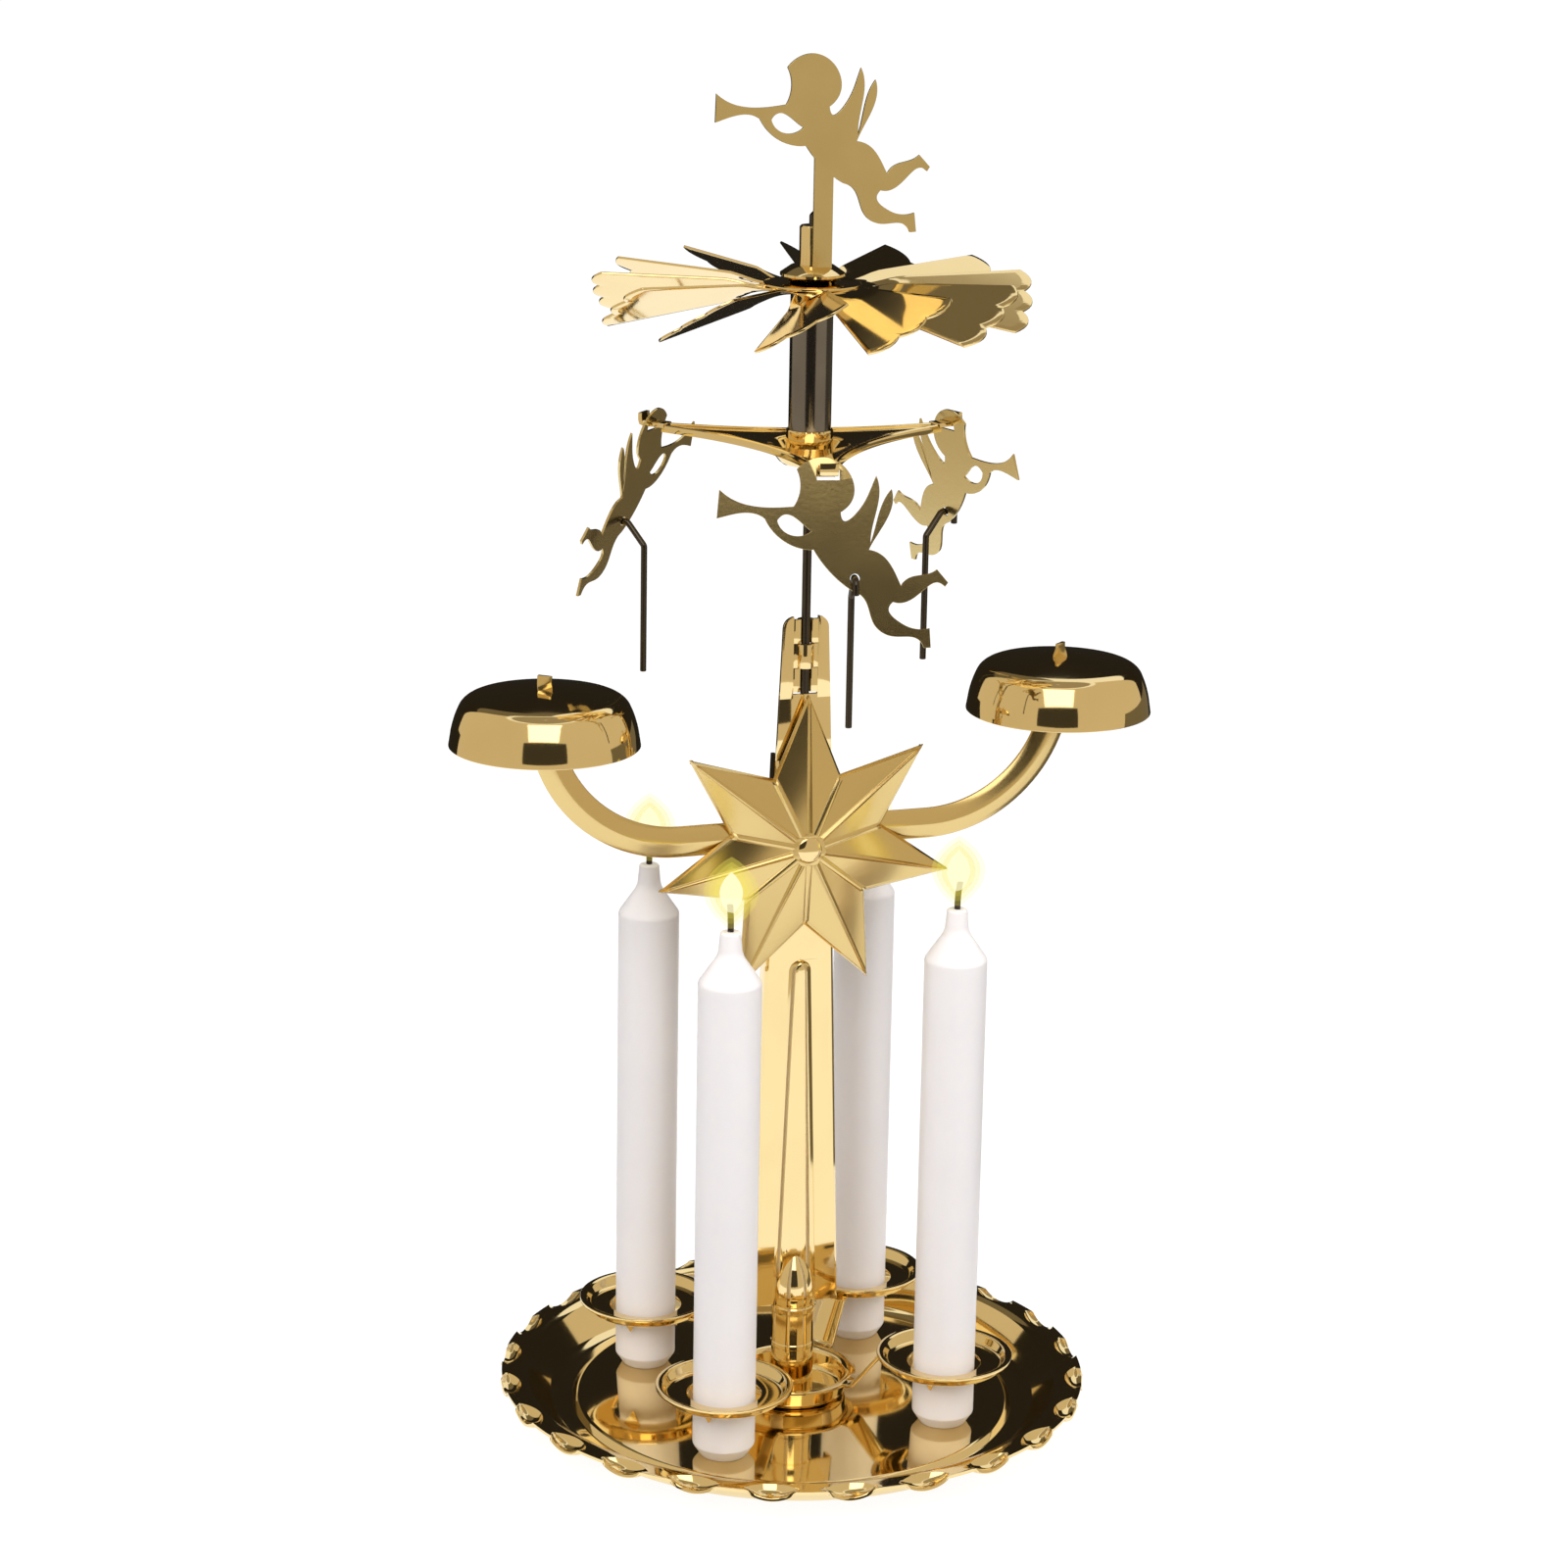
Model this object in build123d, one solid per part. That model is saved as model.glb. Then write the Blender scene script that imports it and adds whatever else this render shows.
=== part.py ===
from build123d import *
import math
import os

# Sheet and wire stock
TRAY_SHEET = 0.6
RACK_SHEET = 0.7
COLUMN_SHEET = 0.8
ARM_SHEET = 0.8
STAR_SHEET = 0.7
BELL_SHEET = 0.8
CARRIER_SHEET = 0.8
TURBINE_SHEET = 0.5
ANGEL_SHEET = 0.5
SPINDLE_DIAMETER = 1.8
STRIKER_DIAMETER = 1.3

# Clearances: pieces fixed together, pieces that run on each other
FIT = 0.1
RUN = 0.3

# Candles and wicks
CANDLE_COUNT = 4
CANDLE_DIAMETER = 12.7
CANDLE_LENGTH = 111.3
CANDLE_CIRCLE = 34.3
CANDLE_FIRST_ANGLE = 47.5
CANDLE_FOOT_DIAMETER = 9.4
CANDLE_FOOT_BEVEL = 2.5
CANDLE_SHOULDER = 10.4
CANDLE_NECK_LENGTH = 4.8
CANDLE_NECK_DIAMETER = 4.2
WICK_DIAMETER = 1.5
WICK_LENGTH = 5.8

# Base tray
FLOOR_HEIGHT = 2.0
FLOOR_MARGIN = 4.4
FOOT_STEP = 1.2
FOOT_WIDTH = 3.8
WALL_RUN = 6.0
RIM_HEIGHT = 7.5
RIM_WIDTH = 5.0
DIMPLE_COUNT = 24
DIMPLE_LENGTH = 12.4
DIMPLE_BULGE = 2.5
DIMPLE_LIFT = 1.0

# Candle rack
CUP_DIAMETER = 24.0
CUP_HEIGHT = 5.0
CUP_LIP = 1.4
RING_DIAMETER = 28.0
RING_HEIGHT = 17.2
RING_DISH = 2.0
RING_LIP = 2.4
RACK_ARM_WIDTH = 3.8
PRONG_COUNT = 4
PRONG_WIDTH = 4.4
PRONG_DROP = 3.2
PRONG_ROOT_GAP = 1.2

# Column and its socket
COLUMN_TOP = 169.8
COLUMN_NECK = 141.0
COLUMN_FOOT_WIDTH = 19.6
COLUMN_NECK_WIDTH = 11.7
COLUMN_TOP_WIDTH = 9.4
COLUMN_CORNER = 2.4
COLUMN_FLANGE = 3.0
RIB_TOP = 97.5
RIB_FOOT_WIDTH = 9.6
RIB_TOP_WIDTH = 4.7
RIB_RISE = 1.1
RIB_TAPER = 28.0
BOSS_WIDTH = 8.2
BOSS_HEIGHT = 12.8
BOSS_BULGE = 1.6
TONGUE_WIDTH = 6.4
TAB_LENGTH = 6.0
SOCKET_DIAMETER = 8.8
SOCKET_WALL = 0.8
SOCKET_HEIGHT = 19.3

# Lanced loops that hold the spindle
LOOP_HEIGHT = 4.9
LOOP_GAP = 0.15
LOOP_WINDOW = 5.2
LOOP_DROP = 0.6
SPINDLE_END_SHOWN = 0.3

# Star
STAR_HEIGHT = 122.3
STAR_POINTS = 7
STAR_RADIUS = 32.0
STAR_VALLEY = 16.5
STAR_RISE = 2.4
STAR_EDGE_RISE = 0.9
STAR_EDGE_INSET = 1.4
STAR_CENTRE_POINT = 3.7
STAR_CENTRE_VALLEY = 3.3
RIVET_HEAD = 5.6
RIVET_HEAD_HEIGHT = 0.7
RIVET_SHANK = 3.0
RIVET_SHOULDER = 4.8

# Bell arms and bells
ARM_OFFSET = 2.7
ARM_WIDTH = 5.6
ARM_RIDGE = 1.1
ARM_BEND = 28.0
ARM_POST = 4.7
ARM_PAD = 15.0
BELL_TONGUE = 3.0
BELL_TONGUE_RISE = 4.0
BELL_TONGUE_TWIST = 40.0
BELL_DIAMETER = 38.0
BELL_HEIGHT = 11.2
BELL_FLAT = 4.5
BELL_CROWN_DROP = 1.5
BELL_CROWN_BEND = 20.0
BELL_SHOULDER = 3.0
BELL_SHOULDER_BEND = 4.0
STRIKE_GAP = 0.8

# Spindle, pivot and rotor tube
SPINDLE_LENGTH = 91.4
SPINDLE_POINT = 4.0
SPINDLE_TIP_DIAMETER = 0.3
CUP_DEPTH = 1.0
CUP_MOUTH = 2.2
PIN_SEAT = 3.4
PIN_STEM = 1.7
PIN_STEM_LENGTH = 3.4
PIN_SLANT = 40.0
SLEEVE_DIAMETER = 5.4
SLEEVE_BORE = 3.1
SLEEVE_SHOWN = 7.8
COLLAR_DIAMETER = 12.8
COLLAR_FACE_DIAMETER = 8.6
COLLAR_HEIGHT = 3.4
COLLAR_EDGE = 0.5
TUBE_DIAMETER = 8.5
TUBE_WALL = 0.5
TUBE_LENGTH = 34.6
BUSH_LENGTH = 8.0

# Turbine wheel
BLADE_COUNT = 12
BLADE_FIRST_ANGLE = 8.0
TURBINE_RADIUS = 43.2
TURBINE_HUB = 19.2
BLADE_ROOT = 4.4
BLADE_TIP = 19.8
BLADE_PITCH = 29.0
BLADE_DROOP = 3.5
LOBE_RISE = 1.7
LOBE_COUNT = 3

# Angel carrier
CARRIER_COUNT = 3
CARRIER_FIRST_ANGLE = -103.0
CARRIER_RADIUS = 34.5
CARRIER_RISE = 5.2
CARRIER_COLLAR = 6.9
CARRIER_COLLAR_WALL = 0.4
CARRIER_DROP = 1.7
CARRIER_WEB = 12.0
CARRIER_CURVE = 65.0
CARRIER_CURVE_ANGLE = 20.0
CARRIER_TIP = 3.6
CARRIER_RIM = 0.7
FUNNEL_DIAMETER = 16.0
CARRIER_TIP_GAP = 2.6
TONGUE_REACH = 2.4
LUG_HEIGHT = 1.8

# Angels and strikers
ANGEL_LENGTH = 44.1
ANGEL_DRAWING_UNITS = 43.4
ANGEL_LEAN = 12.0
ANGEL_SLOT_HEIGHT = 1.9
ANGEL_SLOT_PLAY = 0.4
HINGE_GAP = 0.15
BELLY_HOLE = 1.9
BELLY_BEHIND_SHARE = 0.114
BELLY_BELOW_SHARE = 0.463
TOP_ANGEL_TURN = 2.5
TOP_ANGEL_TILT = 3.5
MAST_WIDTH = 4.0
MAST_OFFSET = 0.5
MAST_DISTANCE = 3.6
MAST_HEIGHT = 42.1
MAST_OVERLAP = 13.0
MAST_IN_ANGEL = 1.9
STRIKER_LENGTH = 30.6
STRIKER_HOOK = 2.8
STRIKER_HOOK_REACH = 2.2
STRIKER_STAND = 1.2
STRIKER_CRANK = 5.0
STRIKER_CRANK_DROP = 4.6
STRIKER_BEND = 1.0

# Heights and radii that follow from the sizes above
candle_radius = CANDLE_DIAMETER / 2
floor_radius = CANDLE_CIRCLE + candle_radius + FLOOR_MARGIN
foot_start = floor_radius + FOOT_STEP
foot_end = foot_start + FOOT_WIDTH
rim_start = foot_end + WALL_RUN
rim_end = rim_start + RIM_WIDTH
cup_floor_top = FLOOR_HEIGHT + RACK_SHEET
socket_top = cup_floor_top + SOCKET_HEIGHT
column_front = -COLUMN_SHEET / 2
column_back = COLUMN_SHEET / 2
pad_front = column_front - ARM_SHEET
arm_front = pad_front - ARM_RIDGE
star_back = arm_front - FIT
arm_height = STAR_HEIGHT + ARM_OFFSET
belly_x = BELLY_BEHIND_SHARE * ANGEL_LENGTH
belly_y = -BELLY_BELOW_SHARE * ANGEL_LENGTH
belly_radius = CARRIER_RADIUS - belly_y * math.sin(math.radians(ANGEL_LEAN))
striker_circle = math.hypot(belly_radius - STRIKER_CRANK, belly_x)
bell_radius = BELL_DIAMETER / 2
bell_reach = striker_circle + STRIKER_DIAMETER / 2 + STRIKE_GAP + bell_radius
bell_seat = arm_height + ARM_BEND + ARM_POST
bell_top = bell_seat + BELL_SHEET
bell_rim = bell_top - BELL_HEIGHT
bell_tongue_y = (pad_front + arm_front) / 2
loop_inner = SPINDLE_DIAMETER / 2 + FIT / 2
top_loop_bottom = COLUMN_TOP - LOOP_DROP - LOOP_HEIGHT
front_loop_bottom = top_loop_bottom - LOOP_GAP - LOOP_HEIGHT
low_loop_bottom = front_loop_bottom - LOOP_GAP - LOOP_HEIGHT
spindle_bottom = low_loop_bottom - SPINDLE_END_SHOWN
spindle_tip = spindle_bottom + SPINDLE_LENGTH
pin_bottom = spindle_tip + RUN - CUP_DEPTH
sleeve_top = pin_bottom + PIN_SEAT
collar_top = sleeve_top - SLEEVE_SHOWN
turbine_top = collar_top - COLLAR_HEIGHT
tube_top = turbine_top - TURBINE_SHEET
tube_bottom = tube_top - TUBE_LENGTH
carrier_bottom = tube_bottom - CARRIER_SHEET
hinge_height = carrier_bottom + CARRIER_RISE
angel_unit = ANGEL_LENGTH / ANGEL_DRAWING_UNITS
belly_height = hinge_height + belly_y * math.cos(math.radians(ANGEL_LEAN))


# A line of points moved to its right by the sheet thickness, with mitred corners
def offset_points(points, sheet):
    moved = []
    for i, point in enumerate(points):
        normals = []
        for a, b in ((i - 1, i), (i, i + 1)):
            if a >= 0 and b < len(points):
                run = Vector(*points[b]) - Vector(*points[a])
                normals.append(Vector(run.Y, -run.X).normalized())
        middle = (normals[0] + normals[-1]).normalized()
        reach = sheet / middle.dot(normals[0])
        moved.append((point[0] + middle.X * reach, point[1] + middle.Y * reach))
    return moved


# Section of a bent sheet that lies to the right of a line of points, with a radius for each bend
def sheet_section(points, sheet, bends):
    inner_bends = []
    for before, corner, after, bend in zip(points, points[1:], points[2:], bends):
        first = Vector(*corner) - Vector(*before)
        second = Vector(*after) - Vector(*corner)
        turns_left = first.cross(second).Z > 0
        inner_bends.append(bend + sheet if turns_left else bend - sheet)
    outer = FilletPolyline(*points, radius=bends)
    inner = FilletPolyline(*offset_points(points, sheet), radius=inner_bends)
    return make_face([outer, Line(outer @ 1, inner @ 1), inner, Line(inner @ 0, outer @ 0)])


# Turns a section drawn as radius and height about the upright axis
def turned(section):
    return revolve(Plane.XZ * section, Axis.Z)


# Extrudes a section drawn as width and height towards the front, from its back face
def upright(section, back, depth):
    return extrude(Plane.XZ.offset(-back) * section, depth)


def ring(outer_diameter, inner_diameter, bottom, top):
    section = Circle(outer_diameter / 2) - Circle(inner_diameter / 2)
    return Pos(0, 0, bottom) * extrude(section, top - bottom)


def rod(diameter, bottom, top):
    return Pos(0, 0, bottom) * extrude(Circle(diameter / 2), top - bottom)


# Straight hole through the column, the arm pad and the star
def rivet_hole():
    section = Pos(0, STAR_HEIGHT) * Circle(RIVET_SHANK / 2 + FIT / 2)
    return upright(section, COLUMN_TOP / 2, COLUMN_TOP)


# Slot for the column's tongue, from below the table up to a height
def tongue_slot(height):
    return Box(TONGUE_WIDTH + 2 * FIT, COLUMN_SHEET + 2 * FIT, 2 * height)


# Pressed tray: flat floor, foot ring, wall and a flange with lens-shaped dimples
def base_tray():
    line = [
        (0, FLOOR_HEIGHT),
        (floor_radius, FLOOR_HEIGHT),
        (foot_start, TRAY_SHEET),
        (foot_end, TRAY_SHEET),
        (rim_start, RIM_HEIGHT),
        (rim_end, RIM_HEIGHT),
    ]
    bends = [1.6 * TRAY_SHEET, 0.6 * TRAY_SHEET, 0.9 * FOOT_WIDTH, 0.45 * WALL_RUN]
    tray = turned(sheet_section(line, TRAY_SHEET, bends))
    place = Pos(rim_end - DIMPLE_BULGE + DIMPLE_LIFT / 2, 0, RIM_HEIGHT + DIMPLE_LIFT)
    hollow = place * dimple_lens(DIMPLE_LENGTH, DIMPLE_BULGE)
    skin = place * dimple_lens(DIMPLE_LENGTH + 2 * TRAY_SHEET, DIMPLE_BULGE + TRAY_SHEET)
    above = Pos(rim_end, 0, RIM_HEIGHT) * Box(
        2 * DIMPLE_LENGTH,
        2 * DIMPLE_LENGTH,
        2 * DIMPLE_LENGTH,
        align=(Align.CENTER, Align.CENTER, Align.MIN),
    )
    skin = skin - above
    spots = PolarLocations(0, DIMPLE_COUNT)
    tray = tray + [spot * skin for spot in spots]
    tray = tray - [spot * hollow for spot in spots]
    return tray - tongue_slot(2 * FLOOR_HEIGHT)


# Pointed lens turned about a line tangent to the rim
def dimple_lens(length, bulge):
    arc = SagittaArc((-length / 2, 0), (length / 2, 0), bulge)
    section = make_face([arc, Line(arc @ 1, arc @ 0)])
    return Rot(0, 0, 90) * revolve(section, Axis.X)


# One stamping: a cup on the tray floor, and an arm to each drip ring
def candle_rack():
    cup_radius = CUP_DIAMETER / 2
    cup_rim = FLOOR_HEIGHT + CUP_HEIGHT
    ring_floor = RING_HEIGHT - RING_DISH
    cup_line = [
        (0, cup_floor_top),
        (cup_radius - CUP_LIP, cup_floor_top),
        (cup_radius - CUP_LIP / 2, cup_rim),
        (cup_radius + CUP_LIP, cup_rim),
    ]
    rack = turned(sheet_section(cup_line, RACK_SHEET, [0.8 * CUP_LIP, 0.8 * CUP_LIP]))
    arm_start = cup_radius + CUP_LIP / 2
    arm_end = CANDLE_CIRCLE - RING_DIAMETER / 2 + RING_LIP
    arm_line = [
        (arm_start, cup_rim),
        (arm_start + RACK_ARM_WIDTH / 2, cup_rim),
        (arm_end - RACK_ARM_WIDTH / 2, ring_floor),
        (arm_end, ring_floor),
    ]
    bend = 2 * RACK_SHEET
    arm_section = sheet_section(arm_line, RACK_SHEET, [bend, bend])
    arm = extrude(Plane.XZ * arm_section, RACK_ARM_WIDTH / 2, both=True)
    holder = Pos(CANDLE_CIRCLE, 0, 0) * drip_ring(ring_floor)
    spots = PolarLocations(0, CANDLE_COUNT, CANDLE_FIRST_ANGLE)
    rack = rack + [spot * arm for spot in spots] + [spot * holder for spot in spots]
    return rack - tongue_slot(2 * FLOOR_HEIGHT)


# Shallow dish with a raised lip, a hole for the candle and pointed prongs bent down to grip it
def drip_ring(ring_floor):
    hole = candle_radius + PRONG_ROOT_GAP
    tip = candle_radius + RUN
    outer = RING_DIAMETER / 2
    line = [
        (hole, ring_floor),
        (outer - RING_LIP, ring_floor),
        (outer - RING_LIP / 2, RING_HEIGHT),
        (outer, RING_HEIGHT),
    ]
    bend = 1.4 * RACK_SHEET
    dish = turned(sheet_section(line, RACK_SHEET, [bend, bend]))
    side = Polyline(
        (hole + RACK_SHEET, ring_floor),
        (hole, ring_floor),
        (tip, ring_floor - PRONG_DROP),
        (tip + RACK_SHEET, ring_floor - PRONG_DROP),
        (hole + RACK_SHEET, ring_floor - RACK_SHEET),
        close=True,
    )
    front = Polyline(
        (-PRONG_WIDTH / 2, ring_floor),
        (PRONG_WIDTH / 2, ring_floor),
        (0, ring_floor - PRONG_DROP - RACK_SHEET),
        close=True,
    )
    prong = extrude(Plane.XZ * make_face(side), PRONG_WIDTH / 2, both=True)
    prong = prong & extrude(Plane.YZ * make_face(front), outer)
    return dish + [spot * prong for spot in PolarLocations(0, PRONG_COUNT)]


def candle():
    shoulder = CANDLE_LENGTH - CANDLE_SHOULDER
    neck = CANDLE_LENGTH - CANDLE_NECK_LENGTH
    neck_radius = CANDLE_NECK_DIAMETER / 2
    side = FilletPolyline(
        (0, 0),
        (CANDLE_FOOT_DIAMETER / 2, 0),
        (candle_radius, CANDLE_FOOT_BEVEL),
        (candle_radius, shoulder),
        (neck_radius, neck),
        (neck_radius, CANDLE_LENGTH),
        (0, CANDLE_LENGTH),
        radius=[0, 0.8 * CANDLE_FOOT_BEVEL, 0.8 * candle_radius, neck_radius, 0.3 * neck_radius],
    )
    return Pos(0, 0, FLOOR_HEIGHT) * turned(make_face([side, Line(side @ 1, side @ 0)]))


def wick():
    bottom = FLOOR_HEIGHT + CANDLE_LENGTH
    stem = rod(WICK_DIAMETER, bottom, bottom + WICK_LENGTH)
    return chamfer(stem.edges().sort_by(Axis.Z)[-1], 0.3 * WICK_DIAMETER)


# Tube on the cup floor that takes the column's tongue
def column_socket():
    return ring(SOCKET_DIAMETER, SOCKET_DIAMETER - 2 * SOCKET_WALL, cup_floor_top, socket_top)


# Outline of a strip that narrows upwards and ends in a round top
def rounded_strip(bottom, bottom_width, top, top_width):
    round_start = top - top_width / 2
    foot = Polyline(
        (-top_width / 2, round_start),
        (-bottom_width / 2, bottom),
        (bottom_width / 2, bottom),
        (top_width / 2, round_start),
    )
    return make_face([foot, ThreePointArc(foot @ 1, (0, top), foot @ 0)])


def trapezoid(bottom, bottom_width, top, top_width):
    return make_face(
        Polyline(
            (-bottom_width / 2, bottom),
            (bottom_width / 2, bottom),
            (top_width / 2, top),
            (-top_width / 2, top),
            close=True,
        )
    )


# Pressed strip with turned-back edges, a raised rib, a foot tongue and loops for the spindle
def column():
    lower = trapezoid(socket_top, COLUMN_FOOT_WIDTH, COLUMN_NECK, COLUMN_NECK_WIDTH)
    inside = trapezoid(
        socket_top,
        COLUMN_FOOT_WIDTH - 2 * COLUMN_SHEET,
        COLUMN_NECK,
        COLUMN_NECK_WIDTH - 2 * COLUMN_SHEET,
    )
    upper = trapezoid(COLUMN_NECK, COLUMN_NECK_WIDTH, COLUMN_TOP, COLUMN_TOP_WIDTH)
    upper = fillet(upper.vertices().group_by(Axis.Y)[-1], COLUMN_CORNER)
    rib_outline = rounded_strip(socket_top, RIB_FOOT_WIDTH, RIB_TOP, RIB_TOP_WIDTH)
    rib = extrude(Plane.XZ.offset(-column_front) * rib_outline, RIB_RISE, taper=RIB_TAPER)
    strip = upright(lower, column_back, COLUMN_SHEET) + upright(upper, column_back, COLUMN_SHEET)
    strip = strip + upright(lower - inside, column_back + COLUMN_FLANGE, COLUMN_FLANGE)
    strip = strip + rib - Pos(0, COLUMN_SHEET, 0) * rib
    boss = column_boss()
    strip = strip + boss - Pos(0, COLUMN_SHEET, 2 * COLUMN_SHEET) * boss
    tab_bottom = FLOOR_HEIGHT - TRAY_SHEET - COLUMN_SHEET
    tongue = Pos(0, 0, tab_bottom) * Box(
        TONGUE_WIDTH,
        COLUMN_SHEET,
        socket_top + RIB_RISE - tab_bottom,
        align=(Align.CENTER, Align.CENTER, Align.MIN),
    )
    tab = Pos(0, column_front, tab_bottom) * Box(
        TONGUE_WIDTH,
        COLUMN_SHEET + TAB_LENGTH,
        COLUMN_SHEET,
        align=(Align.CENTER, Align.MIN, Align.MIN),
    )
    window = Pos(0, 0, low_loop_bottom - LOOP_GAP - SPINDLE_END_SHOWN) * Box(
        LOOP_WINDOW,
        2 * COLUMN_SHEET,
        COLUMN_TOP,
        align=(Align.CENTER, Align.CENTER, Align.MIN),
    )
    strip = strip - window
    strip = strip + Pos(0, 0, front_loop_bottom) * spindle_loop()
    for loop_bottom in (top_loop_bottom, low_loop_bottom):
        strip = strip + Pos(0, 0, loop_bottom) * Rot(0, 0, 180) * spindle_loop()
    return strip + tongue + tab - rivet_hole()


# Front half of the pointed boss pressed into the foot of the column
def column_boss():
    foot = (BOSS_WIDTH / 2, socket_top)
    point = (0, socket_top + BOSS_HEIGHT)
    side = SagittaArc(foot, point, -BOSS_BULGE)
    boss = turned(make_face([side, Polyline(point, (0, socket_top), foot)]))
    front = Pos(0, column_front, socket_top) * Box(
        BOSS_WIDTH,
        BOSS_WIDTH,
        BOSS_HEIGHT,
        align=(Align.CENTER, Align.MAX, Align.MIN),
    )
    return boss & front


# Strip lanced out of the column and bulged round the front of the spindle
def spindle_loop():
    bulge = Circle(loop_inner + COLUMN_SHEET) - Circle(loop_inner)
    bulge = bulge & Pos(0, -LOOP_WINDOW / 2) * Rectangle(LOOP_WINDOW, LOOP_WINDOW)
    wing_reach = LOOP_WINDOW / 2 + FIT
    wing = Rectangle(wing_reach - loop_inner, COLUMN_SHEET)
    wing_middle = (wing_reach + loop_inner) / 2
    section = bulge + Pos(wing_middle, 0) * wing + Pos(-wing_middle, 0) * wing
    return extrude(section, LOOP_HEIGHT)


# Outline of the star, drawn about its centre with a point straight up
def star_outline(point_radius, valley_radius):
    corners = []
    for i in range(2 * STAR_POINTS):
        radius = valley_radius if i % 2 else point_radius
        angle = math.radians(90 + i * 180 / STAR_POINTS)
        corners.append((radius * math.cos(angle), radius * math.sin(angle)))
    return make_face(Polyline(*corners, close=True))


# Open-backed pressed star: a steep edge, then ridges and valleys up to a flat centre
def star():
    inset = 1 - STAR_EDGE_INSET / STAR_VALLEY
    edge = star_outline(STAR_RADIUS, STAR_VALLEY)
    shoulder = Pos(0, 0, STAR_EDGE_RISE) * star_outline(STAR_RADIUS * inset, STAR_VALLEY * inset)
    centre = Pos(0, 0, STAR_RISE) * star_outline(STAR_CENTRE_POINT, STAR_CENTRE_VALLEY)
    pressed = loft([edge, shoulder], ruled=True) + loft([shoulder, centre], ruled=True)
    pressed = pressed - Pos(0, 0, -STAR_SHEET) * pressed
    front = Plane((0, star_back, STAR_HEIGHT), x_dir=(1, 0, 0), z_dir=(0, -1, 0))
    return front * pressed - rivet_hole()


# Rivet through the star, the arm pad and the column, with a shoulder that spaces the star
def star_rivet():
    star_top = -star_back + STAR_RISE
    side = Polyline(
        (0, -column_back - RIVET_HEAD_HEIGHT),
        (RIVET_SHOULDER / 2, -column_back - RIVET_HEAD_HEIGHT),
        (RIVET_SHOULDER / 2, -column_back),
        (RIVET_SHANK / 2, -column_back),
        (RIVET_SHANK / 2, -pad_front),
        (RIVET_SHOULDER / 2, -pad_front),
        (RIVET_SHOULDER / 2, star_top - STAR_SHEET),
        (RIVET_SHANK / 2, star_top - STAR_SHEET),
        (RIVET_SHANK / 2, star_top),
        (RIVET_HEAD / 2, star_top),
    )
    apex = (0, star_top + RIVET_HEAD_HEIGHT)
    crown = TangentArc(apex, side @ 1, tangent=(1, 0))
    section = make_face([side, crown, Line(apex, side @ 0)])
    front = Plane((0, 0, STAR_HEIGHT), x_dir=(1, 0, 0), z_dir=(0, -1, 0))
    return front * turned(section)


# Ridged strap behind the star that sweeps up to a tongue under each bell
def bell_arms():
    bend_start = bell_reach - ARM_BEND
    bend_top = arm_height + ARM_BEND
    middle = math.sqrt(0.5) * ARM_BEND
    path = Wire(
        [
            Line((0, 0, arm_height), (bend_start, 0, arm_height)),
            ThreePointArc(
                (bend_start, 0, arm_height),
                (bend_start + middle, 0, bend_top - middle),
                (bell_reach, 0, bend_top),
            ),
            Line((bell_reach, 0, bend_top), (bell_reach, 0, bell_seat)),
        ]
    )
    half_width = ARM_WIDTH / 2
    ridge = Polyline(
        (pad_front, arm_height - half_width),
        (arm_front, arm_height),
        (pad_front, arm_height + half_width),
        (column_front, arm_height + half_width),
        (arm_front + ARM_SHEET, arm_height),
        (column_front, arm_height - half_width),
        close=True,
    )
    arm = sweep(Plane.YZ * make_face(ridge), path)
    tongue = Pos(bell_reach, bell_tongue_y, bell_seat) * bell_tongue()
    arm = arm + tongue
    pad = upright(Pos(0, STAR_HEIGHT) * Circle(ARM_PAD / 2), column_front, ARM_SHEET)
    seat = Pos(0, STAR_HEIGHT) * Circle(RIVET_SHOULDER / 2 + FIT)
    arms = arm + mirror(arm, Plane.YZ) - upright(seat, pad_front, 2 * ARM_RIDGE)
    return arms + pad - rivet_hole()


# Flat tongue that passes through the bell and is twisted above it
def bell_tongue():
    twist_start = BELL_SHEET + FIT
    straight = Box(
        BELL_TONGUE,
        ARM_SHEET,
        twist_start,
        align=(Align.CENTER, Align.CENTER, Align.MIN),
    )
    twisted = Pos(0, 0, twist_start) * Box(
        BELL_TONGUE,
        ARM_SHEET,
        BELL_TONGUE_RISE - FIT,
        align=(Align.CENTER, Align.CENTER, Align.MIN),
    )
    return straight + Rot(0, 0, BELL_TONGUE_TWIST) * twisted


# Shallow gong with a rounded shoulder and a slot for the arm's tongue
def bell():
    line = [
        (0, BELL_HEIGHT),
        (BELL_FLAT, BELL_HEIGHT),
        (bell_radius - BELL_SHOULDER, BELL_HEIGHT - BELL_CROWN_DROP),
        (bell_radius, 0),
    ]
    shell = turned(sheet_section(line, BELL_SHEET, [BELL_CROWN_BEND, BELL_SHOULDER_BEND]))
    slot = Pos(0, 0, BELL_HEIGHT) * Box(BELL_TONGUE + 2 * FIT, ARM_SHEET + 2 * FIT, 4 * BELL_SHEET)
    return Pos(0, bell_tongue_y, bell_rim) * (shell - slot)


def spindle():
    point_start = spindle_tip - SPINDLE_POINT
    point = Pos(0, 0, point_start) * Cone(
        SPINDLE_DIAMETER / 2,
        SPINDLE_TIP_DIAMETER / 2,
        SPINDLE_POINT,
        align=(Align.CENTER, Align.CENTER, Align.MIN),
    )
    return rod(SPINDLE_DIAMETER, spindle_bottom, point_start) + point


def rotor_tube():
    return ring(TUBE_DIAMETER, TUBE_DIAMETER - 2 * TUBE_WALL, tube_bottom, tube_top)


def tube_bush():
    outer = TUBE_DIAMETER - 2 * TUBE_WALL - FIT
    return ring(outer, SLEEVE_DIAMETER + FIT, tube_top - BUSH_LENGTH, tube_top)


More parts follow.
